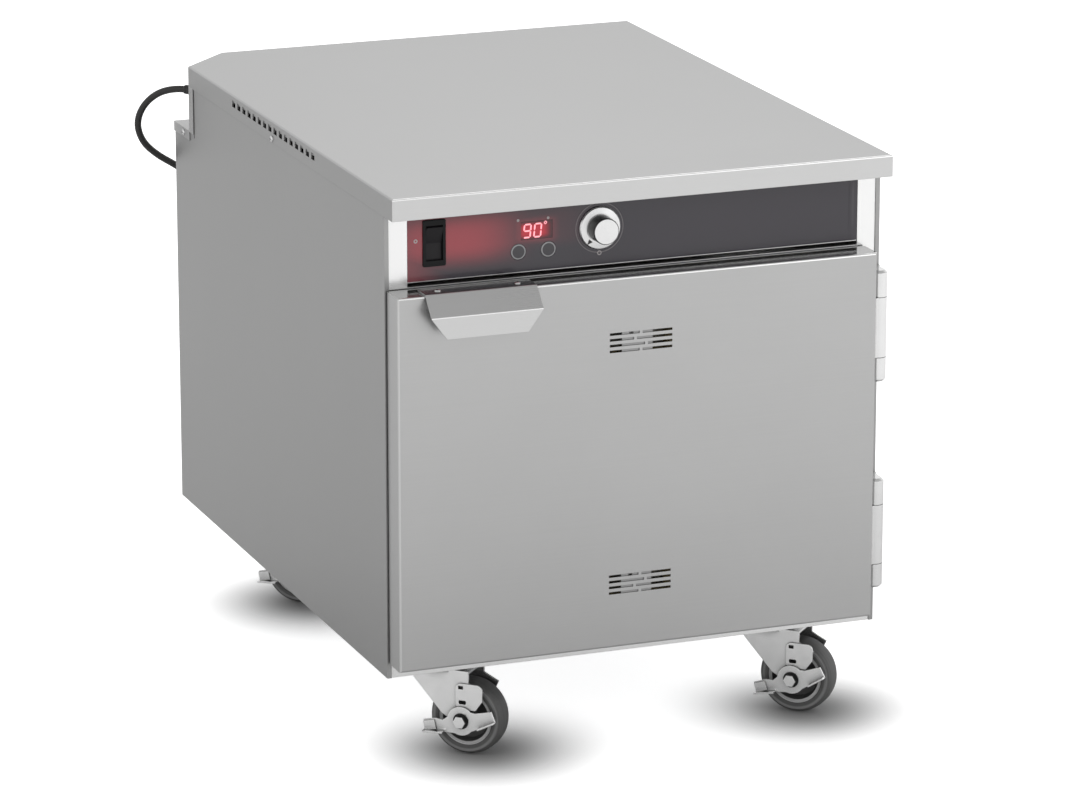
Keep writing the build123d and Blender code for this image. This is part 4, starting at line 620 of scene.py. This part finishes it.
def bar_quads(letter, x, z, width, height, stroke):
    """The bars of one lit digit as flat six-sided shapes, seen from the front."""
    half, mid = stroke / 2, z + height / 2
    right, top = x + width, z + height
    spans = {"a": ((x, top), (right, top)), "b": ((right, top), (right, mid)),
             "c": ((right, mid), (right, z)), "d": ((x, z), (right, z)), "e": ((x, mid), (x, z)),
             "f": ((x, top), (x, mid)), "g": ((x, mid), (right, mid))}
    for bar in BAR_ON[letter]:
        (x0, z0), (x1, z1) = spans[bar]
        ahead = Vector((x1 - x0, z1 - z0)).normalized()
        aside = Vector((-ahead.y, ahead.x))
        start = Vector((x0, z0)) + ahead * half * 0.35
        end = Vector((x1, z1)) - ahead * half * 0.35
        yield [start, start + (ahead + aside) * half, end - (ahead - aside) * half,
               end, end - (ahead + aside) * half, start + (ahead - aside) * half]


digit_glow, tree, shader = blank_material("digit_glow")
spot = tree.nodes.new("ShaderNodeTexCoord").outputs["Object"]
core = wired(tree, "ShaderNodeTexNoise", spot, None, 900, 2).outputs["Fac"]
tone = blend_of(tree, core, (1.0, 0.30, 0.36), (1.0, 0.46, 0.50))
tree.links.new(tone, shader.inputs["Base Color"])
tree.links.new(tone, shader.inputs["Emission Color"])
shader.inputs["Emission Strength"].default_value = 0.9
shader.inputs["Roughness"].default_value = 0.4

SLANT = 0.10
DIGIT_LAYERS = (-0.00012, 0.00008)
vertices, faces = [], []
for letter, left, low, width, height, stroke in (("9", -0.0152, -0.0078, 0.0078, 0.0148, 0.0018),
                                                 ("0", -0.0028, -0.0078, 0.0078, 0.0148, 0.0018),
                                                 ("o", 0.0082, 0.0034, 0.0026, 0.0056, 0.0010)):
    for outline in bar_quads(letter, left, low, width, height, stroke):
        start = len(vertices)
        for depth in DIGIT_LAYERS:
            vertices += [(DISPLAY_X + p.x + SLANT * p.y, OVERLAY_Y + depth, DISPLAY_Z + p.y)
                         for p in outline]
        count = len(outline)
        faces.append(tuple(range(start, start + count)))
        faces.append(tuple(range(start + 2 * count - 1, start + count - 1, -1)))
        for n in range(count):
            m = (n + 1) % count
            faces.append((start + n, start + count + n, start + count + m, start + m))
digits = mesh_piece("readout_digits", vertices, faces, digit_glow)
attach(digits, "cabinet")

# The two push keys: smoky plastic discs flush with the film, each with a pale printed ring near its
# edge. They press straight in, onto the switches of the board behind.
BUTTON_Z = 0.5976
KEY_RING_R = 0.0079


def key_face(name, x):
    material, tree, shader = blank_material(name)
    rim = ring(tree, (x, 0, BUTTON_Z), OUTWARD, KEY_RING_R, 0.0006, 0.0003)
    tone = blend_of(tree, rim, (0.075, 0.072, 0.080), (0.42, 0.42, 0.43))
    tree.links.new(tone, shader.inputs["Base Color"])
    spot = tree.nodes.new("ShaderNodeTexCoord").outputs["Object"]
    wear = wired(tree, "ShaderNodeTexNoise", spot, None, 300, 3).outputs["Fac"]
    tree.links.new(ramp(tree, wear, 0.3, 0.7, 0.28, 0.38), shader.inputs["Roughness"])
    return material


dress(key_face("left_key_face", -0.1405), "button_left")
dress(key_face("right_key_face", -0.1048), "button_right")

# The knob: a turned aluminium skirt with a black pointer, and a black grip that holds a spun disc. It
# is pushed onto the spindle of the thermostat.
TURNING_LINES = 9000
spun, tree, shader = blank_material("spun_aluminium")
turned = use_group(tree, RING_ROUND_AXIS, centre=(KNOB_X, 0, KNOB_Z), axis=OUTWARD).outputs["Reach"]
turning = sum_of(tree, "SINE", sum_of(tree, "MULTIPLY", turned, TURNING_LINES))
tree.links.new(ramp(tree, turning, -1.0, 1.0, 0.72, 0.84), shader.inputs["Base Color"])
tree.links.new(ramp(tree, turning, -1.0, 1.0, 0.24, 0.34), shader.inputs["Roughness"])
shader.inputs["Metallic"].default_value = 0.95
dress(spun, "knob_skirt")

DISC_R = 0.0141
CAP_FRONT = OVERLAY_Y - 0.0209
grip_black = moulding("grip_black", (0.008, 0.008, 0.008), (0.016, 0.016, 0.016), 0.32)
dress(grip_black, "knob_cap")


def spun_disc(middle, way):
    """True on the front face of the cap, inside its black rim."""
    return middle.y < CAP_FRONT and math.hypot(middle.x - KNOB_X, middle.z - KNOB_Z) < DISC_R


second_finish("knob_cap", spun, spun_disc)

POINTER_ANGLE = math.radians(228)
SKIRT_FRONT = OVERLAY_Y - 0.0045
out = Vector((math.cos(POINTER_ANGLE), math.sin(POINTER_ANGLE)))
aside = Vector((-out.y, out.x))
tip, heel, spread = 0.0233, 0.0178, 0.0028
rise, sink = 0.00012, 0.0012
corners = [out * tip, out * heel + aside * spread, out * heel - aside * spread]
vertices = [(KNOB_X + c.x, SKIRT_FRONT - rise, KNOB_Z + c.y) for c in corners]
vertices += [(KNOB_X + c.x, SKIRT_FRONT + sink, KNOB_Z + c.y) for c in corners]
faces = [(0, 1, 2), (5, 4, 3), (0, 3, 4, 1), (1, 4, 5, 2), (2, 5, 3, 0)]
pointer = mesh_piece("knob_pointer", vertices, faces, grip_black)
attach(pointer, "knob")

# The casters: a zinc-plated pressed fork under a bolted plate, a two-armed brake lever on the axle
# boss, and a soft grey tread on a dark moulded rim.
# The caster zinc gets a very dark painted shade where faces meet, round the lever, bolt and boss.
zinc = steel_finish("bright_zinc_plate", 0.94, (90, 90, 90), 0.22, depth=0.05, cloud=0.26, cloud_scale=50,
                    bump=0.05, seam_tone=0.10, painted_shade_reach=0.010, edge=0.0007)
axle_shadow_paint = moulding("axle_painted_shadow", (0.008, 0.008, 0.008), (0.014, 0.014, 0.014), 0.45)
RUBBER_TONES = (0.080, 0.125)
RIM_TONES = (0.050, 0.075)
# Pale rings on tread and rim are painted highlights: the rim's edge and a soft band on the tyre's side.
TREAD_HIGHLIGHT_RINGS = ((0.0312, 0.0006, 0.0008, 0.70), (0.0385, 0.0006, 0.0022, 0.24))
RIM_HIGHLIGHT_RINGS = ((0.0300, 0.0009, 0.0010, 0.55),)


def wheel_finish(name, centre, axle, tones, rough, highlight_rings):
    """A dusty moulding with painted highlight rings: each has its radius, half width, blur and tone."""
    dark, light = tones
    material = moulding(name, (dark, dark, dark), (light, light, light * 0.98), rough, spread=0.07,
                        mottle=(55, 5, 0.7), grain=1200, bump=0.2, relief=0.0001)
    tree = material.node_tree
    skin = tree.nodes["Principled BSDF"].inputs["Base Color"]
    shade = skin.links[0].from_socket
    for radius, half_width, blur, tone in highlight_rings:
        highlight_mask = ring(tree, centre, axle, radius, half_width, blur)
        shade = blend_of(tree, highlight_mask, shade, (tone, tone, tone))
    tree.links.new(shade, skin)
    return material


def axle_shadow_test(centre, axle):
    """A test for the fork's faces round both ends of an axle, which are painted black as the shadow of the
    gap round the boss.
    """
    def in_axle_shadow(middle, way):
        arm = middle - centre
        along = arm.dot(axle)
        return 0.0066 < (arm - axle * along).length < 0.0092 and abs(along) > 0.018
    return in_axle_shadow


dress(zinc, "caster_plates")
for joint in frame["joints"]:
    if joint["name"].startswith("wheel_"):
        corner = joint["name"].split("_")[1]
        axle, centre = tuple(joint["axis"]), tuple(joint["pos_m"])
        tread = wheel_finish("tread_rubber_" + corner, centre, axle, RUBBER_TONES, 0.52, TREAD_HIGHLIGHT_RINGS)
        rim = wheel_finish("rim_moulding_" + corner, centre, axle, RIM_TONES, 0.36, RIM_HIGHLIGHT_RINGS)
        dress(zinc, "fork_" + corner, "brake_lever_" + corner)
        dress(tread, "tyre_" + corner)
        dress(rim, "hub_" + corner)
        # The fork's faces round the axle ends are painted black: a painted shadow of the gap round the
        # boss.
        second_finish("fork_" + corner, axle_shadow_paint, axle_shadow_test(Vector(centre), Vector(axle)))

# The cord's fittings: a black moulded relief in the corner plate, a moulded plug with plated blades,
# and a strap that keeps the wound turns together.
fitting_black = moulding("fitting_black", (0.009, 0.009, 0.009), (0.018, 0.018, 0.018), 0.45)
dress(fitting_black, "cord_gland", "plug", "cord_tie")
